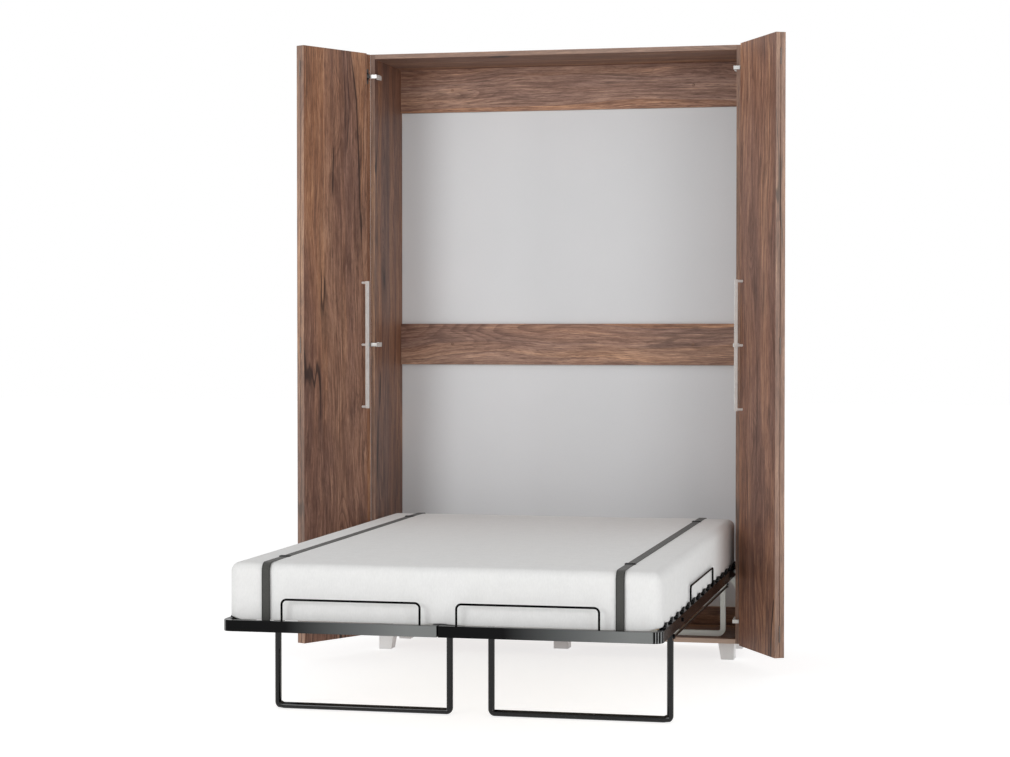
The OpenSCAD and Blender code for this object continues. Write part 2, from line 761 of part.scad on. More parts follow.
module leg_bolts() at_cabinet() color(nickel) both() {
    nut_x = leg_outer_x - leg_r - run;
    hex_x(upto(frame_half, leg_head_h), leg_pivot, leg_bolt_r + 2.5);
    bar_x([nut_x - nut_h, frame_half], leg_pivot, leg_bolt_r);
    hex_x([nut_x - nut_h, nut_x], leg_pivot, leg_bolt_r + 2.5);
    bar_x([leg_outer_x + leg_r + run, rail_in], leg_pivot, leg_bolt_r + sleeve_wall);
}

// One long pin through both inner leg posts and both centre rails
module leg_centre_pin() at_cabinet() color(nickel) {
    end_x = leg_inner_x + leg_r + run;
    bar_x([-end_x - leg_head_h, end_x + leg_head_h], leg_pivot, leg_bolt_r);
    bar_x([-centre_in, centre_in], leg_pivot, leg_bolt_r + sleeve_wall);
    both() {
        bar_x([centre_out, leg_inner_x - leg_r - run], leg_pivot, leg_bolt_r + sleeve_wall);
        hex_x([end_x, end_x + leg_head_h], leg_pivot, leg_bolt_r + 2.5);
    }
}

module centre_bolts() at_cabinet() color(nickel) for (y = centre_bolt_ys) {
    at = [y, pivot_z];
    bar_x([-centre_out, centre_out], at, leg_bolt_r);
    bar_x([-centre_in, centre_in], at, leg_bolt_r + 4);
    both() hex_x(upto(centre_out, 4), at, leg_bolt_r + 2.5);
}

module rail_end_caps() at_cabinet() color(black_plastic) both()
    for (x = [[centre_in, centre_out], [rail_in, frame_half]])
        block(x, [tail_y, tail_y + 2], [bed_z, rail_top]);

// Studs on the centre rails for the upper ends of the gas springs
module gas_studs() at_cabinet() color(nickel) both() {
    bar_x(upto(centre_out, 2), gas_head, 10);
    bar_x([centre_out, gas_eye_in - 0.5], gas_head, gas_pin_r);
}

// A U of round tube that stands on the floor, hollow, with a lug in front for the link rod
module leg(s) at_cabinet() side(s) color(black_steel) {
    posts = [leg_inner_x, leg_outer_x];
    span = leg_outer_x - leg_inner_x;
    difference() {
        union() {
            translate([leg_mid_x, leg_y, pivot_z]) mirror([0, 0, 1]) bent_u(span, leg_rise, leg_r, leg_bend);
            for (x = posts) bar_x([x - leg_r, x + leg_r], leg_pivot, leg_r);
            slab_x(upto(leg_outer_x + leg_r - lug_t, lug_t))
                patch(link_front - [10, lug_h / 2], [leg_y, link_front[1] + lug_h / 2]);
            link_pin(leg_outer_x + leg_r - 1, link_front);
        }
        translate([leg_mid_x, leg_y, pivot_z]) mirror([0, 0, 1])
            bent_u(span, leg_rise, leg_r - leg_wall, leg_bend, leg_plug);
        for (x = posts) bar_x([x - leg_r - past, x + leg_r + past], leg_pivot, leg_bolt_r + fit);
        bar_x([leg_inner_x, leg_outer_x], [leg_y, pivot_z - 30], vent_r);
    }
}

// A flat rod between the stand's pin and the leg's pin, which keeps the leg upright
module link_rod(s) at_cabinet() side(s) color(black_steel)
    slab_x([link_x, link_x + link_t]) difference() {
        union() {
            patch(link_front - [0, link_h / 2], link_foot + [0, link_h / 2]);
            for (at = [link_front, link_foot]) translate(at) circle(link_eye_r);
        }
        for (at = [link_front, link_foot]) translate(at) circle(link_pin_r + fit);
    }

// Draws a gas spring's piece round its own axis, from the lower pin upwards
module along_gas(s) at_cabinet() translate([s * gas_x, gas_foot[0], gas_foot[1]])
    rotate([gas_tilt, 0, 0]) children();

module gas_cylinder(s) along_gas(s) color(black_steel) difference() {
    union() {
        bar_x(gas_eye, [0, 0], gas_eye_r);
        bar_z([0, gas_neck], [0, 0], gas_rod_r - 1);
        bar_z([gas_neck, gas_neck + gas_l], [0, 0], gas_r);
    }
    bar_x(wider(gas_eye, past), [0, 0], gas_pin_r + fit);
    bar_z([gas_neck + 4, gas_neck + gas_l - 5], [0, 0], gas_r - gas_wall);
    bar_z([gas_neck + gas_l - 6, gas_neck + gas_l + past], [0, 0], gas_rod_r + fit);
}

module gas_piston(s) along_gas(s) color(nickel) difference() {
    union() {
        bar_z([gas_rod_start, gas_span], [0, 0], gas_rod_r - 0.5);
        bar_z([gas_rod_start, gas_rod_start + 8], [0, 0], gas_r - gas_wall - run);
        bar_x(gas_eye, [0, gas_span], gas_eye_r);
    }
    bar_x(wider(gas_eye, past), [0, gas_span], gas_pin_r + fit);
}

// Draws a door's piece from its hinge axis, with the leaves folded back to back
module at_door(s) at_cabinet() side(-s) translate([-half_out, -door_gap, 0])
    rotate([0, 0, 270 - door_splay]) children();

module fold_notches() for (z = hinge_zs)
    bar_z(around(z, fold_half + barrel_notch), fold_axis, barrel_r + barrel_notch);

module door_inner(s) at_door(s) color(walnut) difference() {
    block([0, inner_leaf_w], [-door_t, 0], leaf_z);
    for (z = hinge_zs) bar_y([-cup_depth, past], [cup_x, z], cup_r);
    fold_notches();
}

module door_outer(s) at_door(s) color(walnut) difference() {
    block([leaf_step, inner_leaf_w], upto(fold_gap, door_t), leaf_z);
    fold_notches();
}

// Cups let into the inner leaf, each with a flange and a knuckle
module hinge_cups(s) at_door(s) color(nickel) for (z = hinge_zs) {
    difference() {
        bar_y([-cup_depth, 1], [cup_x, z], cup_r - fit);
        bar_y([-cup_depth + 2, 1 + past], [cup_x, z], cup_r - 2.5);
    }
    for (k = [-1, 1]) block(flange_x, [0, flange_t], around(z + k * flange_z, flange_half));
    block(knuckle_x, [-cup_depth + 2, knuckle_h], around(z, nose_half));
}

// Butt hinges in the fold: two knuckles and the pin on the inner leaf, one knuckle on the outer
module fold_plate(y, z, tongues) {
    block([inner_leaf_w - fold_leaf_w, fold_axis[0] - barrel_r - run], y, around(z, fold_half));
    for (t = tongues) block([fold_axis[0] - barrel_r - 1, fold_axis[0] - fold_pin_r - 0.3], y, shifted(t, z));
}

module fold_hinge_inner(s) at_door(s) color(nickel) for (z = hinge_zs) {
    knuckles = [[-fold_half, -fold_mid - run], [fold_mid + run, fold_half]];
    fold_plate([0, fold_leaf_t], z, knuckles);
    for (k = knuckles) bar_z(shifted(k, z), fold_axis, barrel_r);
    bar_z(around(z, fold_half), fold_axis, fold_pin_r);
}

module fold_hinge_outer(s) at_door(s) color(nickel) for (z = hinge_zs) difference() {
    union() {
        fold_plate([fold_gap - fold_leaf_t, fold_gap], z, [[-fold_mid, fold_mid]]);
        bar_z(around(z, fold_mid), fold_axis, barrel_r);
    }
    bar_z(around(z, fold_mid + past), fold_axis, fold_pin_r + fit);
}

// A bar on three posts, near the outer leaf's free edge
module handle(s) at_door(s) color(nickel) {
    x = leaf_step + handle_edge;
    face = fold_gap + door_t;
    block(upto(x, handle_w), upto(face + handle_reach, handle_t), around(handle_z, handle_l / 2));
    for (k = [-1, 0, 1])
        bar_y(upto(face, handle_reach), [x + handle_w / 2, handle_z + k * handle_pitch], handle_post_r);
}

side_panel(-1);  // side_panel_left
side_panel(1);  // side_panel_right
top_panel();
bottom_panel();
upper_rail();
middle_rail();
lower_rail();
back_panel();
feet();
stand();
rest_brackets();
hinge_arms();
carcass_screws();
stand_screws();
side_rail(-1);  // side_rail_left
side_rail(1);  // side_rail_right
centre_rail(-1);  // centre_rail_left
centre_rail(1);  // centre_rail_right
front_rail(-1);  // front_rail_left
front_rail(1);  // front_rail_right
cross_bars();
slats();
slat_holders_side();
slat_holders_centre();
hoop_front(-1);  // hoop_front_left
hoop_front(1);  // hoop_front_right
hoop_side(-1);  // hoop_side_left
hoop_side(1);  // hoop_side_right
hoops_head();
mattress();
strap(-1);  // strap_left
strap(1);  // strap_right
strap_sliders();
strap_anchors();
pivot_bolts();
leg_bolts();
leg_centre_pin();
centre_bolts();
rail_end_caps();
gas_studs();
leg(-1);  // leg_left
leg(1);  // leg_right
link_rod(-1);  // link_rod_left
link_rod(1);  // link_rod_right
gas_cylinder(-1);  // gas_cylinder_left
gas_cylinder(1);  // gas_cylinder_right
gas_piston(-1);  // gas_piston_left
gas_piston(1);  // gas_piston_right
door_inner(-1);  // door_inner_left
door_inner(1);  // door_inner_right
door_outer(-1);  // door_outer_left
door_outer(1);  // door_outer_right
hinge_cups(-1);  // hinge_cups_left
hinge_cups(1);  // hinge_cups_right
fold_hinge_inner(-1);  // fold_hinge_inner_left
fold_hinge_inner(1);  // fold_hinge_inner_right
fold_hinge_outer(-1);  // fold_hinge_outer_left
fold_hinge_outer(1);  // fold_hinge_outer_right
handle(-1);  // handle_left
handle(1);  // handle_right
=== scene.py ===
"""The looks of the wall bed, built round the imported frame.

Lengths are metres. x runs across the bed, y from its foot end to the wall, and z up.
"""

import json
import math

import bmesh
import bpy
import numpy as np
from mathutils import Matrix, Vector


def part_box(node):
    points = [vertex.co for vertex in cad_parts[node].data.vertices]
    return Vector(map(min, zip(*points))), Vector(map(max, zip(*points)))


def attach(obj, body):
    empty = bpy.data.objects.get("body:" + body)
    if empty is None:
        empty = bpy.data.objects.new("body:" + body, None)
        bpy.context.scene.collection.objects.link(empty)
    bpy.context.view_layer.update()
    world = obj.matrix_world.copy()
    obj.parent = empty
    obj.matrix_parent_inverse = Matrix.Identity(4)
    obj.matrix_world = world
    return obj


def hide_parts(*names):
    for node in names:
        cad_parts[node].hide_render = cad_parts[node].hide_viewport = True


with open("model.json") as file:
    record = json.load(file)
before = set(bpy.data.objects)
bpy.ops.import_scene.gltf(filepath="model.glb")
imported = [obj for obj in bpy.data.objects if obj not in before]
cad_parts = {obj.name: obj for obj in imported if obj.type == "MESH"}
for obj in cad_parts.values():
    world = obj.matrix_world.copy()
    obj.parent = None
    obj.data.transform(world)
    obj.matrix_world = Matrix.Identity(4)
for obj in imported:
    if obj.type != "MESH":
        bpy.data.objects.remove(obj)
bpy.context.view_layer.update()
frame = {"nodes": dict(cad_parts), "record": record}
cad_nodes = frame["nodes"]
body_of_node = {
    node: body for body, held in frame["record"]["behaviour"]["bodies"].items() for node in held
}

# Sizes read from the frame

MATTRESS_LOW, MATTRESS_HIGH = (np.array(corner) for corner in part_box("mattress"))
STRAP_LOW, STRAP_HIGH = (np.array(corner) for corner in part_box("strap_right"))
STRAP_X = (STRAP_LOW[0] + STRAP_HIGH[0]) / 2


# Sizes that follow the part: the doors' splay at rest, rails, slats, holders, straps and sliders

SPLAY = math.radians(28.5)
RAIL_IN, RAIL_OUT, RAIL_TOP = 0.688, 0.708, 0.356
WALL_RAIL_FRONT, WALL_SCREW_X = 1.114, 0.5
SLAT_COUNT, SLAT_FIRST, SLAT_PITCH = 15, 0.828, 0.132
SLAT_LOW, SLAT_TOP, SLAT_HALF = 0.352, 0.360, 0.0265
HOLDER_HALF, HOLDER_LOW, HOLDER_TOP = 0.0275, 0.350, 0.3595
STRAP_WIDE, STRAP_THICK = 0.0280, 0.0015
SLIDER_WIDE, SLIDER_LONG, SLIDER_THICK = 0.0170, 0.0110, 0.0028
X, Y, Z = 0, 1, 2


# Materials

def tone(red, green, blue):
    """A colour given as it looks on a screen, 0 to 255, as a shader takes it."""
    def straight(value):
        value /= 255
        return value / 12.92 if value <= 0.04045 else ((value + 0.055) / 1.055) ** 2.4
    return (straight(red), straight(green), straight(blue), 1.0)


class Finish:
    """A material in the making. Each method adds a node and returns the output to use."""

    def __init__(self, name, **settings):
        self.material = bpy.data.materials.new(name)
        self.material.use_nodes = True
        self.tree = self.material.node_tree
        self.shader = self.tree.nodes["Principled BSDF"]
        self.place = self.tree.nodes.new("ShaderNodeTexCoord").outputs
        self.at = self.place["Object"]
        for socket, value in settings.items():
            self.shader.inputs[socket.replace("_", " ")].default_value = value

    def add(self, kind, inputs, **settings):
        node = self.tree.nodes.new(kind)
        for key, value in settings.items():
            setattr(node, key, value)
        for key, value in inputs.items():
            self.join(value, node.inputs[key])
        return node

    def join(self, value, socket):
        if isinstance(value, bpy.types.NodeSocket):
            self.tree.links.new(value, socket)
        elif value is not None:
            socket.default_value = value

    def math(self, operation, a, b=None, c=None):
        values = {i: v for i, v in enumerate((a, b, c)) if v is not None}
        return self.add("ShaderNodeMath", values, operation=operation).outputs[0]

    def wave(self, value, rate):
        return self.math("SINE", self.math("MULTIPLY", value, rate))

    def stretch(self, vector, scale, shift=(0, 0, 0)):
        node = self.add("ShaderNodeMapping", {"Vector": vector, "Location": shift, "Scale": scale})
        return node.outputs[0]

    def noise(self, vector, scale=1.0, detail=2.0, rough=0.5):
        inputs = {"Vector": vector, "Scale": scale, "Detail": detail, "Roughness": rough}
        return self.add("ShaderNodeTexNoise", inputs).outputs[0]

    def streaks(self, vector, scale, shift=(0, 0, 0), detail=2.0, rough=0.5):
        """Noise drawn out along the axes: a small scale makes long streaks."""
        return self.noise(self.stretch(vector, scale, shift), detail=detail, rough=rough)

    def cells(self, vector, feature="F1", output="Distance", **inputs):
        """A Voronoi pattern of cells about one unit wide."""
        inputs = {"Vector": vector, "Scale": 1.0, **inputs}
        return self.add("ShaderNodeTexVoronoi", inputs, feature=feature).outputs[output]

    def between(self, value, low, high, to_low=0.0, to_high=1.0):
        """Turns low..high smoothly into to_low..to_high."""
        inputs = {"Value": value, "From Min": low, "From Max": high, "To Min": to_low, "To Max": to_high}
        return self.add("ShaderNodeMapRange", inputs, interpolation_type="SMOOTHSTEP").outputs[0]

    def ramp(self, value, stops):
        node = self.add("ShaderNodeValToRGB", {"Fac": value})
        band = node.color_ramp
        while len(band.elements) < len(stops):
            band.elements.new(0.5)
        for element, (at, colour) in zip(band.elements, stops):
            element.position, element.color = at, colour
        return node.outputs[0]

    def mix(self, share, a, b, mode="MIX"):
        node = self.add("ShaderNodeMix", {0: share, 6: a, 7: b}, data_type="RGBA", blend_type=mode)
        return node.outputs[2]

    def split(self, vector):
        return self.add("ShaderNodeSeparateXYZ", {0: vector}).outputs

    def gather(self, x, y, z):
        return self.add("ShaderNodeCombineXYZ", {0: x, 1: y, 2: z}).outputs[0]

    def paint(self, colour=None, roughness=None, height=None, strength=0.3, distance=0.001):
        """Joins what is given to the shader and returns the finished material."""
        self.join(colour, self.shader.inputs["Base Color"])
        self.join(roughness, self.shader.inputs["Roughness"])
        if height is not None:
            inputs = {"Height": height, "Strength": strength, "Distance": distance}
            bump = self.add("ShaderNodeBump", inputs).outputs[0]
            self.join(bump, self.shader.inputs["Normal"])
        return self.material


def walnut(name, across, along, seed, painted_light_level=1.0, edge=0.0, grey=0.0, tint=(1.0, 1.0, 1.0), cracked=1.0):
    """Laminate with a printed walnut figure. across and along are the board's axes to the grain. The level
    after the seed scales the whole board's colour, as painted shade below 1 and painted light above 1.
    grey and tint set the tone, edge adds a paler edge band that also paints light on the edges, and
    cracked is how far cracks show."""
    f = Finish(name, Specular_IOR_Level=0.34)

    # The board's plane, x across the grain and y along it, swayed so that no line runs straight
    axes = f.split(f.at)
    straight = f.gather(axes[across], axes[along], seed)
    slow = f.streaks(straight, (3.0, 1.0, 1.0))
    quick = f.streaks(straight, (12.0, 3.6, 1.0), (2, 4, 0))
    sway = f.math("ADD", f.math("MULTIPLY", slow, 0.13), f.math("MULTIPLY", quick, 0.007))
    x, y, z = f.split(straight)
    plane = f.gather(f.math("ADD", x, sway), y, z)

    # Planks and broad bands
    planks = f.stretch(plane, (11.0, 0.25, 1.0), (0.4, 2.0, 0.0))
    plank = f.split(f.cells(planks, "SMOOTH_F1", "Color", Smoothness=0.12))
    band = f.streaks(plane, (13.0, 0.9, 1.0), detail=3.0, rough=0.6)
    band = f.math("MULTIPLY_ADD", f.math("SUBTRACT", plank[0], 0.5), 0.22, band)
    hue = f.streaks(plane, (7.0, 0.5, 1.0), (9, 3, 0))
    hue = f.math("MULTIPLY_ADD", f.math("SUBTRACT", plank[1], 0.5), 0.35, hue)

    # Knots, and growth lines that arch round them
    knot = f.cells(f.stretch(plane, (5.2, 1.5, 1.0), (0.3, 0.1, 0.0)))
    eye = f.between(knot, 0.02, 0.085, 1.0, 0.0)
    halo = f.between(knot, 0.05, 0.24, 1.0, 0.0)
    hill = f.between(knot, 0.0, 0.36, 1.0, 0.0)
    field = f.streaks(plane, (3.6, 0.5, 1.0), rough=0.4)
    field = f.math("MULTIPLY_ADD", hill, 0.14, field)
    rings = f.math("FRACT", f.math("MULTIPLY", field, 44.0))
    line = f.math("MULTIPLY", f.between(rings, 0.30, 0.92), f.between(rings, 1.0, 0.94))
    line_show = f.between(f.streaks(plane, (6.0, 1.2, 1.0), (3, 1, 0), 3.0), 0.44, 0.64, 0.04, 0.65)

    # Streaks, fibres, smudges, flecks and pores
    streak = f.streaks(plane, (95.0, 3.4, 1.0), detail=5.0, rough=0.7)
    fibre = f.streaks(plane, (320.0, 11.0, 1.0), detail=4.0, rough=0.65)
    thread = f.streaks(plane, (800.0, 45.0, 1.0))
    mottle = f.streaks(plane, (46.0, 9.0, 1.0), (8, 8, 0), 4.0, rough=0.6)
    smudge = f.between(f.streaks(plane, (30.0, 4.0, 1.0), (5, 0, 0), 4.0), 0.56, 0.74)
    dash_show = f.between(f.streaks(plane, (7.0, 1.6, 1.0), (6, 6, 0)), 0.40, 0.58)
    dash = f.between(f.streaks(plane, (190.0, 17.0, 1.0), (4, 0, 0), rough=0.6), 0.56, 0.68)
    dash = f.math("MULTIPLY", dash, f.math("MULTIPLY_ADD", dash_show, 0.75, 0.25))
    pore = f.between(f.streaks(plane, (480.0, 50.0, 1.0), detail=1.0), 0.62, 0.72)

    # Loose cracks, and longer ones where two planks meet
    ridge = f.streaks(straight, (7.5, 0.40, 1.0), (7, 2, 0), 3.0, rough=0.45)
    ridge = f.math("ABSOLUTE", f.math("SUBTRACT", ridge, 0.5))
    show = f.between(f.streaks(plane, (7.0, 1.5, 1.0), (1, 7, 0)), 0.54, 0.60)
    crack = f.math("MULTIPLY", f.between(ridge, 0.002, 0.009, 1.0, 0.0), show)
    open_joint = f.between(f.streaks(plane, (10.0, 1.3, 1.0), (4, 5, 0), 1.0), 0.50, 0.60)
    shut = f.math("MULTIPLY", f.math("SUBTRACT", 1.0, open_joint), 0.03)
    border = f.math("ADD", f.cells(planks, "DISTANCE_TO_EDGE"), shut)
    crack = f.math("MAXIMUM", crack, f.between(border, 0.006, 0.016, 1.0, 0.0))
    crack = f.math("MULTIPLY", crack, cracked)

    # The colours, from the broad bands to the knots' eyes
    colour = f.ramp(band, [(0.30, tone(122, 90, 77)), (0.44, tone(148, 111, 92)),
                           (0.56, tone(174, 132, 105)), (0.70, tone(202, 158, 124))])
    colour = f.mix(f.between(hue, 0.30, 0.72, 0.0, 0.60 + 0.3 * grey), colour, tone(148, 122, 112))
    colour = f.mix(f.between(hue, 0.16, 0.40, 0.35 - 0.2 * grey, 0.0), colour, tone(178, 128, 88))
    colour = f.mix(f.math("MULTIPLY", line, line_show), colour, tone(100, 72, 62))
    colour = f.mix(f.between(streak, 0.34, 0.60, 0.60, 0.0), colour, tone(108, 78, 66))
    colour = f.mix(f.between(streak, 0.52, 0.72, 0.0, 0.45), colour, tone(206, 166, 138))
    colour = f.mix(f.math("MULTIPLY", smudge, 0.55), colour, tone(86, 64, 57))
    colour = f.mix(f.math("MULTIPLY", halo, 0.45), colour, tone(96, 69, 58))
    grains = ((0.40, mottle, 110, 215), (0.60, fibre, 80, 240), (0.35, thread, 100, 235))
    for share, pattern, low, high in grains:
        grain = f.ramp(pattern, [(0.30, tone(low, low, low)), (0.70, tone(high, high - 2, high - 5))])
        colour = f.mix(share, colour, grain, "SOFT_LIGHT")
    colour = f.mix(f.math("MULTIPLY", dash, 0.55), colour, tone(76, 55, 47))
    colour = f.mix(f.math("MULTIPLY", pore, 0.30), colour, tone(76, 55, 46))
    colour = f.mix(f.math("MULTIPLY", crack, 0.85), colour, tone(46, 35, 33))
    colour = f.mix(f.math("MULTIPLY", eye, 0.88), colour, tone(50, 38, 35))
    # Paler edge faces: an edge band, paler still as painted light on the edges.
    if edge:
        colour = f.mix(edge, colour, tone(206, 184, 168))
    # Painted shade and light: the whole board's colour is scaled darker or lighter by its level.
    colour = f.mix(1.0, colour, (*(painted_light_level * share for share in tint), 1.0), "MULTIPLY")

    # The relief: fibres stand up, cracks and pores lie deep
    height = f.math("ADD", f.math("MULTIPLY", fibre, 0.5), f.math("MULTIPLY", thread, 0.35))
    height = f.math("SUBTRACT", height, f.math("MULTIPLY", f.math("MAXIMUM", crack, pore), 0.8))
    return f.paint(colour, f.math("MULTIPLY_ADD", fibre, 0.16, 0.44), height, 0.35, 0.0004)


def hardboard():
    """Painted back panel: an even light grey with a faint cloudiness and a fine orange-peel."""
    f = Finish("back_board_paint", Specular_IOR_Level=0.35)
    cloud = f.noise(f.at, 1.3, 3.0)
    speck = f.noise(f.at, 900.0, 2.0)
    colour = f.ramp(cloud, [(0.3, tone(228, 230, 232)), (0.7, tone(235, 236, 238))])
    colour = f.mix(0.06, colour, f.ramp(speck, [(0.4, tone(150, 150, 150)), (0.6, tone(240, 240, 240))]))
    return f.paint(colour, f.math("MULTIPLY_ADD", cloud, 0.1, 0.5), speck, 0.12, 0.0002)


def gloss_black(name="black_steel_gloss", painted_reflection=False, gloss=0.012):
    """Powder coat: near black and glossy, with a fine orange-peel and a faint haze. For the front rail, a
    painted reflection greys each half towards its right end, and painted highlights cross its rounded ends."""
    f = Finish(name, Specular_IOR_Level=gloss, Coat_Weight=gloss / 3, Coat_Roughness=0.04)
    peel = f.noise(f.at, 420.0, 2.0)
    haze = f.noise(f.at, 9.0, 4.0, 0.6)
    colour = f.mix(haze, tone(6, 6, 7), tone(13, 13, 14))
    if painted_reflection:
        # Painted reflection: the front face of each half greys towards its right end, with a dark band
        # before the right corner.
        x = f.split(f.at)[0]
        left_half = f.math("LESS_THAN", x, 0.0)
        along = f.math("DIVIDE", f.math("ADD", x, f.math("MULTIPLY", left_half, RAIL_OUT)), RAIL_OUT)
        grey = f.ramp(along, [(0.0, tone(8, 8, 9)), (0.30, tone(14, 14, 15)),
                              (0.62, tone(92, 94, 94)), (0.86, tone(120, 122, 121))])
        grey = f.mix(f.between(x, 0.678, 0.682), grey, tone(6, 6, 7))
        facing = f.split(f.place["Normal"])[1]
        colour = f.mix(f.math("LESS_THAN", facing, -0.9), colour, grey)
        # Painted highlights: thin light lines across both rounded ends of the rail.
        turned_forward = f.math("LESS_THAN", facing, -0.15)
        for middle in (-0.7055, -0.6985, 0.688, 0.6955, 0.7030):
            gap = f.math("ABSOLUTE", f.math("SUBTRACT", x, middle))
            line = f.math("MULTIPLY", f.between(gap, 0.0007, 0.0016, 0.65, 0.0), turned_forward)
            colour = f.mix(line, colour, tone(176, 178, 178))
    return f.paint(colour, f.math("MULTIPLY_ADD", haze, 0.08, 0.06), peel, 0.04, 0.0003)


def grey_coat():
    """Grey-green powder coat of the stand, with a fine grain."""
    f = Finish("grey_steel_coat", Specular_IOR_Level=0.5)
    grain = f.noise(f.at, 1400.0, 2.0)
    haze = f.noise(f.at, 14.0, 4.0, 0.6)
    colour = f.mix(haze, tone(222, 228, 224), tone(236, 240, 237))
    colour = f.mix(0.10, colour, f.ramp(grain, [(0.4, tone(120, 120, 120)), (0.6, tone(235, 235, 235))]))
    return f.paint(colour, f.math("MULTIPLY_ADD", grain, 0.12, 0.34), grain, 0.15, 0.0002)


def satin_metal(name, along, base, metal, rough=0.30):
    """Brushed and lacquered metal, its hairlines along one axis."""
    f = Finish(name, Metallic=metal, Specular_IOR_Level=0.6)
    scale = {"x": (30, 2600, 2600), "y": (2600, 30, 2600), "z": (2600, 2600, 30)}[along]
    hair = f.streaks(f.at, scale)
    haze = f.noise(f.at, 18.0, 3.0)
    colour = f.mix(haze, tone(*[c - 14 for c in base]), tone(*base))
    colour = f.mix(0.12, colour, f.ramp(hair, [(0.35, tone(120, 120, 120)), (0.65, tone(250, 250, 250))]))
    roughness = f.math("MULTIPLY_ADD", hair, 0.12, f.math("MULTIPLY_ADD", haze, 0.08, rough - 0.08))
    return f.paint(colour, roughness, hair, 0.10, 0.0001)


def ticking():
    """Knitted mattress cover: fine loops in rows, soft sheen and a faint mottling."""
    f = Finish("mattress_ticking", Specular_IOR_Level=0.25, Sheen_Weight=0.25, Sheen_Roughness=0.5)
    cloud = f.noise(f.at, 6.0, 2.0)
    waves = [f.wave(axis, rate) for axis, rate in zip(f.split(f.at), (3700.0, 3100.0, 3300.0))]
    loops = f.math("ADD", f.math("ADD", waves[0], waves[1]), waves[2])
    mottle = f.noise(f.at, 22.0, 5.0, 0.62)
    slub = f.streaks(f.at, (260.0, 36.0, 90.0))
    colour = f.ramp(mottle, [(0.30, tone(228, 228, 227)), (0.70, tone(233, 233, 232))])
    colour = f.mix(f.between(cloud, 0.35, 0.7, 0.0, 0.15), colour, tone(232, 231, 228))
    colour = f.mix(0.05, colour, f.ramp(slub, [(0.35, tone(170, 170, 168)), (0.65, tone(250, 250, 249))]))
    height = f.math("ADD", f.math("MULTIPLY", loops, 0.12),
                    f.math("ADD", f.math("MULTIPLY", slub, 0.3), f.math("MULTIPLY", mottle, 0.35)))
    return f.paint(colour, f.math("MULTIPLY_ADD", mottle, 0.1, 0.82), height, 0.12, 0.0010)


def webbing():
    """Woven strap on its own plane: x metres along it, y across it. Ribs, a herringbone and firm edges."""
    f = Finish("strap_webbing_weave", Specular_IOR_Level=0.3, Sheen_Weight=0.15, Sheen_Roughness=0.45)
    uv = f.split(f.place["UV"])
    across = f.math("ABSOLUTE", f.math("SUBTRACT", uv[1], 0.5))
    zigzag = f.math("PINGPONG", f.math("MULTIPLY", uv[1], 4.0), 1.0)
    slant = f.math("ADD", uv[0], f.math("MULTIPLY", zigzag, 0.004))
    rib = f.math("MULTIPLY_ADD", f.wave(slant, 2800.0), 0.5, 0.5)
    yarn = f.math("MULTIPLY_ADD", f.wave(uv[1], 125.0), 0.5, 0.5)
    fuzz = f.noise(f.at, 700.0, 3.0)
    wide = f.noise(f.at, 12.0, 3.0)
    edge = f.between(across, 0.31, 0.42)
    weave = f.math("MULTIPLY", rib, f.math("MULTIPLY_ADD", yarn, 0.4, 0.6))
    colour = f.ramp(weave, [(0.05, tone(38, 38, 36)), (0.6, tone(76, 76, 73)), (1.0, tone(98, 98, 94))])
    colour = f.mix(f.math("MULTIPLY", edge, 0.85), colour, tone(26, 26, 25))
    colour = f.mix(0.25, colour, f.ramp(fuzz, [(0.3, tone(36, 36, 34)), (0.7, tone(112, 112, 108))]))
    colour = f.mix(f.math("MULTIPLY", wide, 0.15), colour, tone(60, 60, 58))
    height = f.math("ADD", weave, f.math("MULTIPLY", fuzz, 0.3))
    return f.paint(colour, f.math("MULTIPLY_ADD", fuzz, 0.15, 0.68), height, 0.6, 0.0005)


def moulded_black():
    """Black plastic with a fine spark-eroded grain."""
    f = Finish("black_plastic_grain", Specular_IOR_Level=0.28)
    grain = f.noise(f.at, 1600.0, 3.0)
    haze = f.noise(f.at, 20.0, 3.0)
    colour = f.mix(haze, tone(11, 11, 12), tone(21, 21, 22))
    return f.paint(colour, f.math("MULTIPLY_ADD", grain, 0.25, 0.30), grain, 0.3, 0.0002)


def beech():
    """Lacquered beech plywood: short flecks along the slat and thin layers on its edges."""
    f = Finish("slat_beech", Specular_IOR_Level=0.5, Coat_Weight=0.25, Coat_Roughness=0.25)
    band = f.streaks(f.at, (3.0, 60.0, 60.0), detail=4.0, rough=0.6)
    fleck = f.between(f.streaks(f.at, (180.0, 900.0, 900.0), detail=1.0), 0.62, 0.72)
    layer = f.math("FRACT", f.math("MULTIPLY", f.split(f.at)[2], 625.0))
    colour = f.ramp(band, [(0.3, tone(206, 176, 138)), (0.55, tone(222, 196, 158)),
                           (0.75, tone(232, 210, 176))])
    colour = f.mix(f.math("MULTIPLY", fleck, 0.45), colour, tone(168, 128, 92))
    side = f.math("ABSOLUTE", f.split(f.place["Normal"])[1])
    plies = f.math("MULTIPLY", f.math("GREATER_THAN", side, 0.7), f.between(layer, 0.4, 0.6, 0.0, 0.35))
    colour = f.mix(plies, colour, tone(150, 112, 78))
    return f.paint(colour, f.math("MULTIPLY_ADD", band, 0.15, 0.32), band, 0.15, 0.0003)


def foot_plastic():
    """Pale grey plastic of the feet."""
    f = Finish("foot_plastic", Specular_IOR_Level=0.4)
    haze = f.noise(f.at, 12.0, 3.0)
    grain = f.noise(f.at, 1200.0, 2.0)
    # Darker towards the bottom, over the lowest 12 mm.
    lowest_darkening = f.between(f.split(f.at)[2], 0.0, 0.012, 0.12, 0.0)
    colour = f.mix(haze, tone(244, 245, 246), tone(249, 250, 250))
    colour = f.mix(lowest_darkening, colour, tone(150, 148, 144))
    return f.paint(colour, f.math("MULTIPLY_ADD", grain, 0.15, 0.40), grain, 0.15, 0.0002)


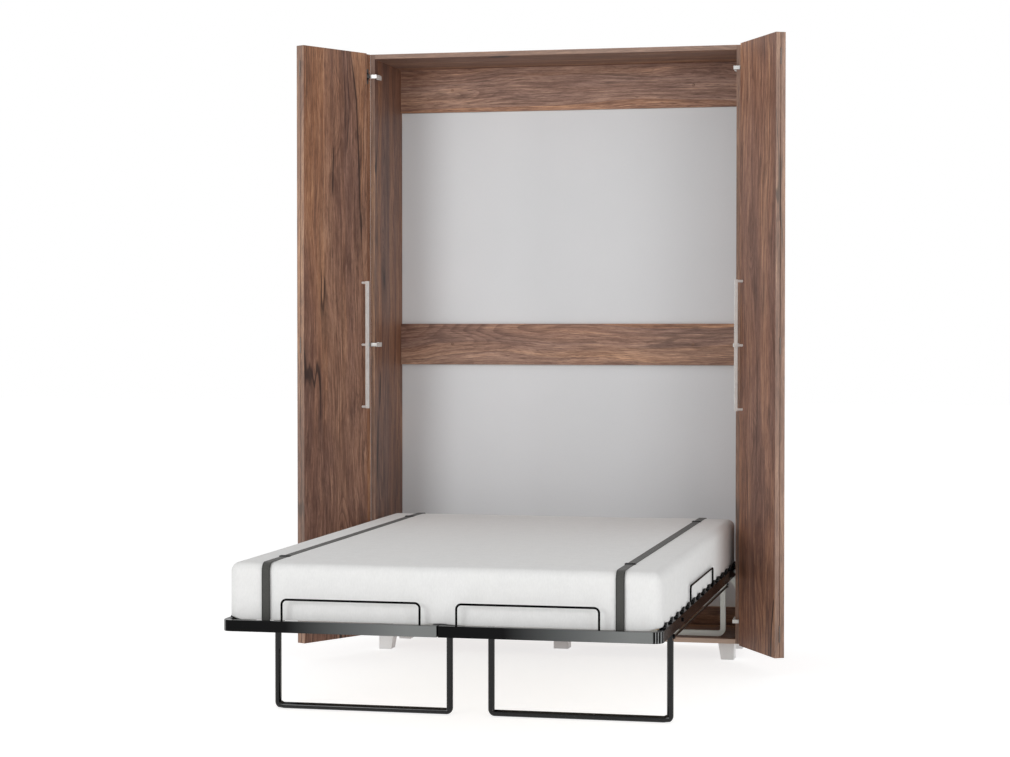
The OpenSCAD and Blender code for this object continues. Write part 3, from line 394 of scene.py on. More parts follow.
RUDDY = (1.0, 0.93, 0.93)
BLACK = gloss_black()
GREY = grey_coat()
TUBE_BLACK = gloss_black("black_tube_gloss", gloss=0.30)
# The front rail takes the painted reflection and the painted highlights.
FRONT_BLACK = gloss_black("front_rail_gloss", painted_reflection=True, gloss=0.06)
NICKEL = satin_metal("satin_nickel", "z", (244, 242, 239), 0.2, 0.26)
HINGE = satin_metal("bright_nickel", "y", (244, 243, 240), 0.15, 0.22)
BRIGHT = satin_metal("zinc_plate", "x", (190, 190, 186), 0.8)
# Dark metal for the hinge cups, far darker than the hinge arms.
SHADED = satin_metal("blackened_cup", "z", (44, 42, 40), 0.3)
BRONZE = satin_metal("bronzed_hinge", "z", (96, 76, 62), 0.3)
TICKING = ticking()
WEBBING = webbing()
PLASTIC = moulded_black()
BEECH = beech()
FOOT = foot_plastic()
PANEL = hardboard()
# Paler walnut for the boards' edge faces: an edge band with painted light on the edges.
UPRIGHT_EDGE = walnut("walnut_edge_upright", X, Z, 2.7, edge=0.17)
LEVEL_EDGE = walnut("walnut_edge_level", Z, X, 5.1, edge=0.22)
CAP = walnut("walnut_cap", Z, X, 4.6, 0.9)
LOW_EDGE = walnut("walnut_edge_low", Z, X, 8.3, 1.1, edge=0.70)


# Making pieces

def shown(name, mesh, material=None):
    piece = bpy.data.objects.new(name, mesh)
    bpy.context.scene.collection.objects.link(piece)
    if material:
        mesh.materials.clear()
        mesh.materials.append(material)
    return piece


def mesh_of(form, name):
    """Turns a finished form into a mesh."""
    mesh = bpy.data.meshes.new(name)
    form.to_mesh(mesh)
    form.free()
    return mesh


def closed_mesh(form, name):
    """The same for a form made face by face, its faces turned outwards first."""
    bmesh.ops.recalc_face_normals(form, faces=form.faces)
    return mesh_of(form, name)


def stands_for(piece, slot, body, *nodes):
    """Rides the piece on its body and hides the nodes it stands for. The slot is not used."""
    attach(piece, body)
    if nodes:
        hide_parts(*nodes)
    return piece


def settle(piece):
    """Leaves the piece as a plain mesh, its modifiers worked in."""
    graph = bpy.context.evaluated_depsgraph_get()
    done = bpy.data.meshes.new_from_object(piece.evaluated_get(graph))
    piece.modifiers.clear()
    piece.data = done
    return piece


def smooth_by_angle(mesh, degrees=35):
    mesh.shade_smooth()
    mesh.set_sharp_from_angle(angle=math.radians(degrees))


def points_of(piece):
    """The piece's points as rows of x, y and z."""
    at = np.empty(len(piece.data.vertices) * 3)
    piece.data.vertices.foreach_get("co", at)
    return at.reshape(-1, 3)


def put_points(piece, at):
    piece.data.vertices.foreach_set("co", at.reshape(-1))
    piece.data.update()


def softened(piece, width, steps=2, degrees=40):
    """Rounds the piece's edges by a small bevel."""
    bevel = piece.modifiers.new("soft_edges", "BEVEL")
    bevel.width, bevel.segments = width, steps
    bevel.limit_method, bevel.angle_limit = "ANGLE", math.radians(degrees)
    bevel.harden_normals = True
    bevel.use_clamp_overlap = True
    smooth_by_angle(piece.data, degrees)
    return settle(piece)


def dressed(node, slot, material, bevel=0.0006, edge=None, thin=None, steps=2, degrees=40):
    """A copy of a CAD node that stands for it, its corners joined, its edges softened, and its points
    kept inside the node's own box. A board's faces that look away from its thin direction take the
    edge material: an edge band, paler also as painted light on the edges."""
    mesh = cad_nodes[node].data.copy()
    piece = shown(node + "_dressed", mesh, material)
    form = bmesh.new()
    form.from_mesh(mesh)
    bmesh.ops.remove_doubles(form, verts=form.verts, dist=2e-6)
    bmesh.ops.dissolve_limit(form, angle_limit=math.radians(0.4), verts=form.verts, edges=form.edges)
    for face in form.faces:
        face.material_index = 0
        face.smooth = True
    if edge:
        mesh.materials.append(edge)
        for face in form.faces:
            if abs(face.normal.dot(thin)) < 0.5:
                face.material_index = 1
    form.to_mesh(mesh)
    form.free()
    if bevel:
        softened(piece, bevel, steps, degrees)
    else:
        smooth_by_angle(mesh, degrees)
    put_points(piece, np.clip(points_of(piece), *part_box(node)))
    return stands_for(piece, slot, body_of_node[node], node)


def unit(*values):
    return Vector(values).normalized()


# Boards of the cabinet and its doors

def cover_cap(x, z, sides=28):
    """A domed cap with a rolled rim over a wall screw in a rail's front face. Its profile goes from
    the rim to the middle: how far from the axis, and how far out."""
    form = bmesh.new()
    profile = ((0.0066, 0.0), (0.0068, 0.0004), (0.0064, 0.0009), (0.0052, 0.0012),
               (0.0034, 0.0015), (0.0017, 0.0016))
    rings = [[form.verts.new((x + r * math.cos(a), WALL_RAIL_FRONT - out, z + r * math.sin(a)))
              for a in np.linspace(0, 2 * math.pi, sides + 1)[:-1]] for r, out in profile]
    for near, far in zip(rings, rings[1:]):
        for i in range(sides):
            form.faces.new((near[i], near[i - sides + 1], far[i - sides + 1], far[i]))
    form.faces.new(rings[0])
    form.faces.new(rings[-1])
    mesh = closed_mesh(form, "cap")
    smooth_by_angle(mesh, 50)
    return shown("cap", mesh, CAP)


def cabinet():
    across_bed, along_bed, upright = unit(1, 0, 0), unit(0, 1, 0), unit(0, 0, 1)
    # Painted shade and light: the left side, the bottom panel and the lower rail are darker, the upper and
    # middle rails lighter.
    for side, seed, painted_light_level in (("left", 0.4, 0.78), ("right", 1.3, 0.92)):
        paint = walnut(f"walnut_side_{side}", Y, Z, seed, painted_light_level, tint=RUDDY)
        dressed(f"side_panel_{side}", "laminate", paint, edge=UPRIGHT_EDGE, thin=across_bed)
    for level, seed, painted_light_level, edge in (("top", 2.2, 1.0, LEVEL_EDGE), ("bottom", 3.1, 0.8, LOW_EDGE)):
        paint = walnut(f"walnut_{level}", Y, X, seed, painted_light_level)
        dressed(f"{level}_panel", "laminate", paint, edge=edge, thin=upright)
    for level, seed, painted_light_level in (("upper", 4.6, 1.24), ("middle", 5.3, 1.24), ("lower", 6.2, 0.80)):
        paint = walnut(f"walnut_{level}_rail", Z, X, seed, painted_light_level, grey=1.0, cracked=0.4)
        dressed(f"{level}_rail", "laminate", paint, edge=LEVEL_EDGE, thin=along_bed)
    dressed("back_panel", "back_board", PANEL, 0.0003)
    heights = [(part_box(node)[0][2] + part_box(node)[1][2]) / 2 for node in ("upper_rail", "middle_rail")]
    caps = [cover_cap(x, z) for x in (-WALL_SCREW_X, WALL_SCREW_X) for z in heights]
    stands_for(joined("wall_screw_caps", caps), "laminate", body_of_node["upper_rail"])
    dressed("feet", "feet", FOOT, 0.002, steps=3)
    for side, way in (("left", 1), ("right", -1)):
        thin = unit(way * math.cos(SPLAY), -math.sin(SPLAY), 0)
        for leaf, seed in (("inner", 7.4), ("outer", 9.1)):
            # Painted shade and light: the left door's leaves are darker and the right door's lighter.
            paint = walnut(f"walnut_door_{leaf}_{side}", Y, Z, seed + way * 0.37, 0.955 - 0.095 * way,
                           grey=-0.4, tint=RUDDY)
            dressed(f"door_{leaf}_{side}", "laminate", paint, 0.0007, UPRIGHT_EDGE, thin)
        dressed(f"handle_{side}", "nickel", NICKEL, 0.0012, steps=3)
        dressed(f"hinge_cups_{side}", "nickel", SHADED, 0.0003)
        for leaf in ("inner", "outer"):
            dressed(f"fold_hinge_{leaf}_{side}", "nickel", BRONZE, 0.0002)
    dressed("hinge_arms", "nickel", HINGE)
    dressed("rest_brackets", "grey_steel", GREY, 0.0008)
    dressed("carcass_screws", "nickel", BRIGHT, 0.0003)
    dressed("stand_screws", "nickel", BRIGHT, 0.0005)
    dressed("stand", "grey_steel", GREY, 0.0012, steps=3)


# Metal of the bed

def tight_bends(leg, radius=0.011, drawn=0.022, tight=0.012):
    """Draws in the two lower bends of a leg: radius is its tube's, drawn and tight the middle line's
    before and after."""
    low, high = (np.array(corner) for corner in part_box(leg.name.replace("_dressed", "")))
    at = points_of(leg)
    for edge, way in ((low[0], 1), (high[0], -1)):
        centre = np.array([edge + way * (radius + drawn), low[2] + radius + drawn])
        past = (centre - at[:, [0, 2]]) * (way, 1)
        bend = (past > -1e-5).all(axis=1)
        out = at[bend][:, [0, 2]] - centre
        far = np.linalg.norm(out, axis=1, keepdims=True)
        place = centre + (drawn - tight) * np.array([-way, -1]) + out / far * (far - drawn + tight)
        at[np.ix_(bend, [0, 2])] = place
    put_points(leg, at)


def slim_shanks(bolts, shank=0.0042, share=0.97):
    """Draws the bolts' shanks in a little, so that they turn clear of the legs' faceted bores."""
    at = points_of(bolts)
    middle = sum(np.array(corner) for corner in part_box("leg_bolts"))[1:] / 2
    out = at[:, 1:] - middle
    inner = np.linalg.norm(out, axis=1, keepdims=True) < shank
    at[:, 1:] = middle + out * np.where(inner, share, 1.0)
    put_points(bolts, at)


def bed_metal():
    for side in ("left", "right"):
        for node in ("side_rail", "centre_rail"):
            dressed(f"{node}_{side}", "black_steel", BLACK, 0.0012, steps=3)
        dressed(f"front_rail_{side}", "black_steel", FRONT_BLACK, 0.0012, steps=3)
        for node in ("hoop_front", "hoop_side", "gas_cylinder"):
            dressed(f"{node}_{side}", "black_steel", BLACK, 0.0004)
        tight_bends(dressed(f"leg_{side}", "black_steel", TUBE_BLACK, 0.0004))
        dressed(f"link_rod_{side}", "black_steel", BLACK, 0.0004)
        dressed(f"gas_piston_{side}", "nickel", BRIGHT, 0.0003)
    dressed("hoops_head", "black_steel", BLACK, 0)
    dressed("cross_bars", "black_steel", BLACK, 0.0005)
    dressed("strap_anchors", "black_steel", BLACK, 0.0005)
    for node in ("pivot_bolts", "leg_centre_pin", "centre_bolts", "gas_studs"):
        dressed(node, "nickel", BRIGHT, 0.0005)
    slim_shanks(dressed("leg_bolts", "nickel", BLACK, 0.0005))
    dressed("rail_end_caps", "black_plastic", PLASTIC, 0.0006)


# Slats and their holders, one row of pieces for each side

def row_maker():
    """A group that repeats a piece along a line and gives it its material."""
    group = bpy.data.node_groups.new("row_of_pieces", "GeometryNodeTree")
    for label, kind in (("Piece", "Object"), ("Count", "Int"), ("Start", "Vector"), ("Spacing", "Vector"),
                        ("Material", "Material")):
        group.interface.new_socket(label, in_out="INPUT", socket_type="NodeSocket" + kind)
    group.interface.new_socket("Geometry", in_out="OUTPUT", socket_type="NodeSocketGeometry")
    new = group.nodes.new
    given, out = new("NodeGroupInput"), new("NodeGroupOutput")
    line, info = new("GeometryNodeMeshLine"), new("GeometryNodeObjectInfo")
    instances, real = new("GeometryNodeInstanceOnPoints"), new("GeometryNodeRealizeInstances")
    paint = new("GeometryNodeSetMaterial")
    link = group.links.new
    link(given.outputs["Piece"], info.inputs["Object"])
    link(given.outputs["Count"], line.inputs["Count"])
    link(given.outputs["Start"], line.inputs["Start Location"])
    link(given.outputs["Spacing"], line.inputs["Offset"])
    link(line.outputs[0], instances.inputs["Points"])
    link(info.outputs["Geometry"], instances.inputs["Instance"])
    link(instances.outputs[0], real.inputs[0])
    link(real.outputs[0], paint.inputs["Geometry"])
    link(given.outputs["Material"], paint.inputs["Material"])
    link(paint.outputs[0], out.inputs[0])
    return group


ROWS = row_maker()


def row(name, piece, material):
    """One copy of a piece, drawn at its own origin, at each slat. The piece itself goes."""
    made = shown(name, bpy.data.meshes.new(name))
    modifier = made.modifiers.new("rows", "NODES")
    modifier.node_group = ROWS
    ids = {item.name: item.identifier for item in ROWS.interface.items_tree if item.in_out == "INPUT"}
    for label, value in (("Piece", piece), ("Count", SLAT_COUNT), ("Start", (0, SLAT_FIRST, 0)),
                         ("Spacing", (0, -SLAT_PITCH, 0)), ("Material", material)):
        modifier[ids[label]] = value
    settle(made)
    bpy.data.objects.remove(piece)
    return made


def joined(name, pieces):
    """One object of several, each with its materials kept."""
    form = bmesh.new()
    materials = []
    for piece in pieces:
        mesh = piece.data
        before = len(form.faces)
        form.from_mesh(mesh)
        form.faces.ensure_lookup_table()
        for face in form.faces[before:]:
            paint = mesh.materials[face.material_index]
            if paint not in materials:
                materials.append(paint)
            face.material_index = materials.index(paint)
        bpy.data.objects.remove(piece)
    mesh = bpy.data.meshes.new(name)
    for paint in materials:
        mesh.materials.append(paint)
    form.to_mesh(mesh)
    form.free()
    return shown(name, mesh)


def extruded(name, outline, low, high, axis, bevel, steps=2):
    """A solid with a side view, points in turn, between two limits along an axis.
    The outline's numbers are the two other axes in order."""
    form = bmesh.new()
    ends = []
    for at in (low, high):
        corners = []
        for a, b in outline:
            place = [a, b]
            place.insert(axis, at)
            corners.append(form.verts.new(place))
        ends.append(corners)
    form.faces.new(ends[0])
    form.faces.new(ends[1][::-1])
    for i in range(len(outline)):
        j = (i + 1) % len(outline)
        form.faces.new((ends[0][i], ends[1][i], ends[1][j], ends[0][j]))
    return softened(shown(name, closed_mesh(form, name)), bevel, steps)


def slats(inner_end=0.0241, outer_end=0.6859):
    """The slats of both halves. Their ends are measured from the bed's middle."""
    made = []
    for s in (-1, 1):
        low, high = sorted((s * inner_end, s * outer_end))
        body = [(-SLAT_HALF, SLAT_LOW), (SLAT_HALF, SLAT_LOW),
                (SLAT_HALF, SLAT_TOP), (-SLAT_HALF, SLAT_TOP)]
        made.append(row("slats_row", extruded("slat", body, low, high, X, 0.0018, 4), BEECH))
    stands_for(joined("slats_curved_edges", made), "slat_wood", "bed", "slats")


def side_holder(s):
    """A clip over the side rail: a ledge for the slat, a saddle on the rail, and a wedge outside."""
    lip, wall = RAIL_IN - 0.0075, RAIL_IN - 0.0018
    end, seat = RAIL_OUT - 0.0005, RAIL_TOP + 0.0001
    ledge = extruded("ledge", [(s * x, z) for x, z in (
        (lip, HOLDER_LOW), (RAIL_IN, HOLDER_LOW), (RAIL_IN, HOLDER_TOP), (wall, HOLDER_TOP),
        (wall, SLAT_LOW), (lip, SLAT_LOW))], -HOLDER_HALF, HOLDER_HALF, Y, 0.0004)
    saddle = extruded("saddle", [(s * x, z) for x, z in (
        (wall, seat), (end, seat), (end, HOLDER_TOP), (wall, HOLDER_TOP))],
        -HOLDER_HALF, HOLDER_HALF, Y, 0.0006)
    wedge = extruded("wedge", [(-0.0150, 0.3563), (0.0150, 0.3563), (0.0150, 0.3615), (0.0070, 0.3735),
                               (-0.0075, 0.3735), (-0.0150, 0.3650)],
                     *sorted((s * 0.7008, s * 0.7075)), X, 0.0009, 3)
    rib = extruded("rib", [(s * x, z) for x, z in (
        (RAIL_IN + 0.001, HOLDER_TOP), (0.7010, HOLDER_TOP), (0.7010, 0.3715))],
        -0.0012, 0.0012, Y, 0.0003)
    for piece in (ledge, saddle, wedge, rib):
        piece.data.materials.append(PLASTIC)
    return joined("holder", [ledge, saddle, wedge, rib])


def holders():
    made = [row("holders_row", side_holder(s), PLASTIC) for s in (-1, 1)]
    stands_for(joined("side_holders_moulded", made), "black_plastic", "bed", "slat_holders_side")
    lip, wall, inside, seat = 0.0295, 0.0238, 0.0221, RAIL_TOP + 0.0001
    base = extruded("saddle", [
        (-wall, HOLDER_LOW), (-lip, HOLDER_LOW), (-lip, SLAT_LOW), (-wall, SLAT_LOW), (-wall, HOLDER_TOP),
        (wall, HOLDER_TOP), (wall, SLAT_LOW), (lip, SLAT_LOW), (lip, HOLDER_LOW), (wall, HOLDER_LOW),
        (inside, HOLDER_LOW), (inside, seat), (-inside, seat), (-inside, HOLDER_LOW)],
        -HOLDER_HALF, HOLDER_HALF, Y, 0.0004)
    base.data.materials.append(PLASTIC)
    made = row("centre_row", base, PLASTIC)
    stands_for(joined("centre_holders_moulded", [made]), "black_plastic", "bed", "slat_holders_centre")


# The mattress: a foam core in a knitted cover, pressed by the two straps

# Radii of its corners and its upper and lower edges, the rise of its top and the draw of its sides
CORNER, EDGE, BASE_EDGE, CROWN, WAIST = 0.034, 0.028, 0.005, 0.006, 0.002


def grid_lines(half, step=0.025):
    """Positions across the mattress, close together near both edges."""
    rim = [EDGE * k / 6 for k in range(7)] + [0.039, 0.050, 0.060]
    inner = np.linspace(half - rim[-1], rim[-1] - half, max(2, round(2 * (half - rim[-1]) / step)) + 1)
    return np.concatenate(([half - q for q in rim[:-1]], inner, [q - half for q in rim[:-1]][::-1]))[::-1]


def rounded(x, y, half):
    """Where a point of a rectangle goes in one with round corners: its place, its inset and the way in."""
    at, inner = np.array([x, y]), half - CORNER
    near = np.clip(at, -inner, inner)
    out = at - near
    most, length = np.abs(out).max(), math.hypot(*out)
    if length < 1e-9:
        return at, CORNER + min(inner - np.abs(at)), np.zeros(2)
    return near + out * most / length, CORNER - most, -out / length


def mattress_form(levels=11):
    """A closed form of the mattress: a crowned top and a flat base as grids, joined by drawn-in sides."""
    half = (MATTRESS_HIGH[:2] - MATTRESS_LOW[:2]) / 2
    centre = (MATTRESS_HIGH[:2] + MATTRESS_LOW[:2]) / 2
    height = MATTRESS_HIGH[2] - MATTRESS_LOW[2] - CROWN
    xs, ys = grid_lines(half[0]), grid_lines(half[1])
    form = bmesh.new()

    def vertex(at, inward, move, z):
        place = at + inward * move + centre
        return form.verts.new((place[0], place[1], MATTRESS_LOW[2] + z))

    def sheet_of(edge, top):
        rows = []
        for y in ys:
            line = []
            for x in xs:
                at, inset, inward = rounded(x, y, half)
                turn = math.pi / 2 * min(inset / EDGE, 1)
                drop = edge * (1 - math.sin(turn))
                new = edge * (1 - math.cos(turn))
                if inset >= CORNER:
                    new = inset
                elif inset > EDGE:
                    new = edge + (inset - EDGE) * (CORNER - edge) / (CORNER - EDGE)
                rise = 0.0
                if top:
                    deep = [max(half[i] - abs((x, y)[i]) - EDGE, 0.0) / (half[0] - EDGE) for i in (0, 1)]
                    deep = 1 / (sum((1 / max(d, 1e-6)) ** 5 for d in deep)) ** 0.2
                    rise = CROWN * math.sin(math.pi / 2 * min(deep, 1))
                line.append(vertex(at, inward, new - inset, height - drop + rise if top else drop))
            rows.append(line)
        return rows

    top, base = sheet_of(EDGE, True), sheet_of(BASE_EDGE, False)
    for rows, flip in ((top, False), (base, True)):
        for a, b in zip(rows, rows[1:]):
            for i in range(len(xs) - 1):
                ring = (a[i], a[i + 1], b[i + 1], b[i])
                form.faces.new(ring[::-1] if flip else ring)

    nx, ny = len(xs), len(ys)
    rim = [(i, 0) for i in range(nx)] + [(nx - 1, j) for j in range(1, ny)]
    rim += [(i, ny - 1) for i in range(nx - 2, -1, -1)] + [(0, j) for j in range(ny - 2, 0, -1)]
    lower = [base[j][i] for i, j in rim]
    ends = [top[j][i] for i, j in rim]
    for k in range(1, levels + 1):
        up = k / levels
        z = BASE_EDGE + (height - EDGE - BASE_EDGE) * up
        if k == levels:
            upper = ends
        else:
            upper = []
            for i, j in rim:
                at, inset, inward = rounded(xs[i], ys[j], half)
                upper.append(vertex(at, inward, WAIST * math.sin(math.pi * up), z))
        for i in range(len(rim)):
            n = (i + 1) % len(rim)
            form.faces.new((lower[i], lower[n], upper[n], upper[i]))
        lower = upper
    return closed_mesh(form, "mattress_cover")


def puffed(piece, pressure=3.0, frames=16, cap=0.003):
    """Lets the cover settle on the foam: cloth under a little pressure, no point moving past the cap."""
    before = points_of(piece)
    cloth = piece.modifiers.new("cover", "CLOTH")
    held = cloth.settings
    held.use_pressure, held.uniform_pressure_force = True, pressure
    held.effector_weights.gravity = 0
    held.quality = 4
    held.tension_stiffness = held.compression_stiffness = 25
    held.bending_stiffness = 2
    cloth.point_cache.frame_start, cloth.point_cache.frame_end = 1, frames
    scene = bpy.context.scene
    for number in range(1, frames + 1):
        scene.frame_set(number)
    settle(piece)
    scene.frame_set(1)
    move = points_of(piece) - before
    size = np.maximum(np.linalg.norm(move, axis=1, keepdims=True), 1e-9)
    put_points(piece, before + move / size * cap * np.tanh(size / cap))


def soft_wave(x, y, seed, sizes):
    """A smooth uneven field from a few fixed waves, between about -1 and 1."""
    rng = np.random.default_rng(seed)
    total = np.zeros_like(x)
    for size in sizes:
        angle, phase = rng.uniform(0, 2 * math.pi, 2)
        total += np.sin((x * math.cos(angle) + y * math.sin(angle)) * 2 * math.pi / size + phase)
    return total / len(sizes)


def press(piece, under_strap=0.0019, under_half=0.012, dent_reach=0.022):
    """Shapes the cover further: unevenness, dents under the straps, a base flat on the slats and full
    sides."""
    at = points_of(piece)
    low, high = MATTRESS_LOW, MATTRESS_HIGH
    centre, half = (low + high) / 2, (high - low) / 2
    up = np.clip((at[:, 2] - low[2]) / (high[2] - low[2]), 0, 1)

    # Faint unevenness of the top, then of the long sides and the ends
    top = np.clip((up - 0.80) / 0.15, 0, 1)
    at[:, 2] += top * 0.0012 * soft_wave(at[:, 0], at[:, 1], 5, (0.61, 0.83, 1.1, 0.37))
    side = np.clip((np.abs((at[:, 0] - centre[0]) / half[0]) - 0.97) / 0.03, 0, 1)
    end = np.clip((np.abs((at[:, 1] - centre[1]) / half[1]) - 0.98) / 0.02, 0, 1)
    uneven = 0.0010 * soft_wave(at[:, 1], at[:, 2], 8, (0.31, 0.53, 0.9)) - 0.0008
    at[:, 0] += np.sign(at[:, 0]) * side * uneven
    uneven = 0.0010 * soft_wave(at[:, 0], at[:, 2], 9, (0.41, 0.63, 0.9)) - 0.0008
    at[:, 1] += np.sign(at[:, 1] - centre[1]) * end * uneven

    # The straps hold the top and both ends down. Beside them the cover is free to rise
    beside = np.maximum(np.abs(np.abs(at[:, 0]) - STRAP_X) - under_half, 0)
    free = 0.02 * (1 - np.exp(-(beside / dent_reach) ** 2))
    at[:, 2] = np.where(up > 0.6, np.minimum(at[:, 2], STRAP_HIGH[2] - under_strap + free), at[:, 2])
    at[:, 1] = np.clip(at[:, 1], STRAP_LOW[1] + under_strap - free, STRAP_HIGH[1] - under_strap + free)

    # The base lies flat on the slats, and sinks past the first and the last one, clear of the rails
    last_slat = SLAT_FIRST - (SLAT_COUNT - 1) * SLAT_PITCH
    past = np.maximum(last_slat - SLAT_HALF - at[:, 1], at[:, 1] - SLAT_FIRST - SLAT_HALF)
    off_centre_rail = 1 - np.exp(-(at[:, 0] / 0.04) ** 2)
    off_side_rails = np.clip((0.684 - np.abs(at[:, 0])) / 0.02, 0, 1)
    sink = 0.0034 * np.clip(past / 0.03, 0, 1) + 0.0036 * np.clip(past / 0.02 - 1, 0, 1) * off_centre_rail
    sink *= off_side_rails * np.clip(1 - up * 2, 0, 1)
    at[:, 2] = np.maximum(at[:, 2], low[2] + 0.0001) - sink

    # The long sides are full, but stay inside the hoops beside them
    hoop_low, hoop_high = (np.array(corner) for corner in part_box("hoop_side_right"))
    hoop_middle, hoop_half = (hoop_low[1] + hoop_high[1]) / 2, (hoop_high[1] - hoop_low[1]) / 2
    off_hoop = np.maximum(np.abs(at[:, 1] - hoop_middle) - hoop_half, 0)
    above_hoop = np.maximum(at[:, 2] - hoop_high[2], 0)
    give = 1 - np.exp(-(off_hoop / 0.05) ** 2 - (above_hoop / 0.03) ** 2)
    at[:, 0] += np.sign(at[:, 0]) * (side * 0.0040 * np.sin(math.pi * up ** 0.7))
    most = high[0] + 0.0003 + 0.0042 * give
    at[:, 0] = np.clip(at[:, 0], -most, most)
    put_points(piece, at)


def mattress():
    piece = shown("mattress_covered", mattress_form(), TICKING)
    puffed(piece)
    press(piece)
    smoothing = piece.modifiers.new("smooth", "SUBSURF")
    smoothing.levels = smoothing.render_levels = 1
    settle(piece)
    piece.data.shade_smooth()
    stands_for(piece, "mattress_cloth", "bed", "mattress")


# The straps and their sliders

def strap_path():
    """The middle line of a strap in side view, (y, z) points from its front end to its rear end."""
    r = EDGE + 0.00105
    front, rear = STRAP_LOW[1] + STRAP_THICK / 2, STRAP_HIGH[1] - STRAP_THICK / 2
    low, top = STRAP_LOW[2], STRAP_HIGH[2] - STRAP_THICK / 2
    up, over = np.linspace(0.15, math.pi / 2, 9), np.linspace(0, math.pi / 2 - 0.15, 9)
    path = [(front, z) for z in np.linspace(low, top - r, 12)]
    path += [(front + r - r * math.cos(a), top - r + r * math.sin(a)) for a in up]
    path += [(y, top) for y in np.linspace(front + r, rear - r, 160)[1:-1]]
    path += [(rear - r + r * math.sin(a), top - r + r * math.cos(a)) for a in over]
    path += [(rear, z) for z in np.linspace(top - r, low, 12)]
    return path


def strap(s, name, node):
    """A woven strap of an even width and thickness along its path, with its own plane for the weave.
    The section's numbers are shares of the half width and of the thickness."""
    path = np.array(strap_path())
    steps = np.linalg.norm(np.diff(path, axis=0), axis=1)
    run = np.concatenate(([0], np.cumsum(steps)))
    ahead = np.gradient(path, axis=0)
    ahead /= np.linalg.norm(ahead, axis=1, keepdims=True)
    out = np.stack((-ahead[:, 1], ahead[:, 0]), axis=1)
    section = [(-1, -0.15), (-0.985, -0.5), (-0.9, -0.5), (-0.5, -0.5), (0, -0.5), (0.5, -0.5), (0.9, -0.5),
               (0.985, -0.5), (1, -0.15), (1, 0.15), (0.985, 0.5), (0.9, 0.46), (0.5, 0.5), (0, 0.5),
               (-0.5, 0.5), (-0.9, 0.46), (-0.985, 0.5), (-1, 0.15)]
    form = bmesh.new()
    layer = form.loops.layers.uv.new("weave")
    rings = []
    for (y, z), (out_y, out_z) in zip(path, out):
        rings.append([form.verts.new((s * STRAP_X + w * STRAP_WIDE / 2, y + out_y * t * STRAP_THICK,
                                      z + out_z * t * STRAP_THICK)) for w, t in section])
    count = len(section)
    for k in range(len(rings) - 1):
        for i in range(count):
            j = (i + 1) % count
            face = form.faces.new((rings[k][i], rings[k + 1][i], rings[k + 1][j], rings[k][j]))
            marks = ((run[k], section[i][0]), (run[k + 1], section[i][0]),
                     (run[k + 1], section[j][0]), (run[k], section[j][0]))
            for loop, (along, across) in zip(face.loops, marks):
                loop[layer].uv = (along, across / 2 + 0.5)
    form.faces.new(rings[0])
    form.faces.new(rings[-1][::-1])
    mesh = closed_mesh(form, name)
    smooth_by_angle(mesh, 50)
    piece = shown(name, mesh, WEBBING)
    stands_for(piece, "strap_webbing", "bed", node)


def slider(x, y):
    """A three-bar slider on a strap: a rounded frame with two slots, its middle bar over the strap.
    Its width and length are halves."""
    low = STRAP_HIGH[2] + 0.0002
    high = low + SLIDER_THICK
    inner, end_bar, middle_bar = SLIDER_WIDE - 0.001, SLIDER_LONG - 0.0042, 0.0022
    form = bmesh.new()

    def box(x0, x1, y0, y1, z0, z1):
        for v in bmesh.ops.create_cube(form, size=1)["verts"]:
            v.co = ((x0 + x1) / 2 + v.co.x * (x1 - x0), (y0 + y1) / 2 + v.co.y * (y1 - y0),
                    (z0 + z1) / 2 + v.co.z * (z1 - z0))

    for side in (-1, 1):
        box(*sorted((side * (SLIDER_WIDE - 0.0026), side * SLIDER_WIDE)), -SLIDER_LONG, SLIDER_LONG,
            low - 0.0014, high)
        box(-inner, inner, *sorted((side * end_bar, side * SLIDER_LONG)), low, high)
    box(-inner, inner, -middle_bar, middle_bar, low, high + 0.0004)
    bmesh.ops.translate(form, verts=form.verts, vec=(x, y, 0))
    return softened(shown("slider", mesh_of(form, "slider"), PLASTIC), 0.0009, 3)


def straps():
    strap(-1, "strap_left_woven", "strap_left")
    strap(1, "strap_right_woven", "strap_right")
    low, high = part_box("strap_sliders")
    ends = (low[1] + SLIDER_LONG, high[1] - SLIDER_LONG)
    made = [slider(s * STRAP_X, y) for s in (-1, 1) for y in ends]
    stands_for(joined("strap_sliders_moulded", made), "black_plastic", "bed", "strap_sliders")


# Floor, light and camera

WHITE = (1.0, 1.0, 1.0, 1.0)


def seen_directly(tree):
    """1 for rays from the camera and for mirrored and refracted ones, 0 for the rest."""
    path = tree.nodes.new("ShaderNodeLightPath")
    seen = path.outputs["Is Camera Ray"]
    for kind in ("Is Glossy Ray", "Is Transmission Ray"):
        either = tree.nodes.new("ShaderNodeMath")
        either.operation = "MAXIMUM"
        tree.links.new(seen, either.inputs[0])
        tree.links.new(path.outputs[kind], either.inputs[1])
        seen = either.outputs[0]
    return seen


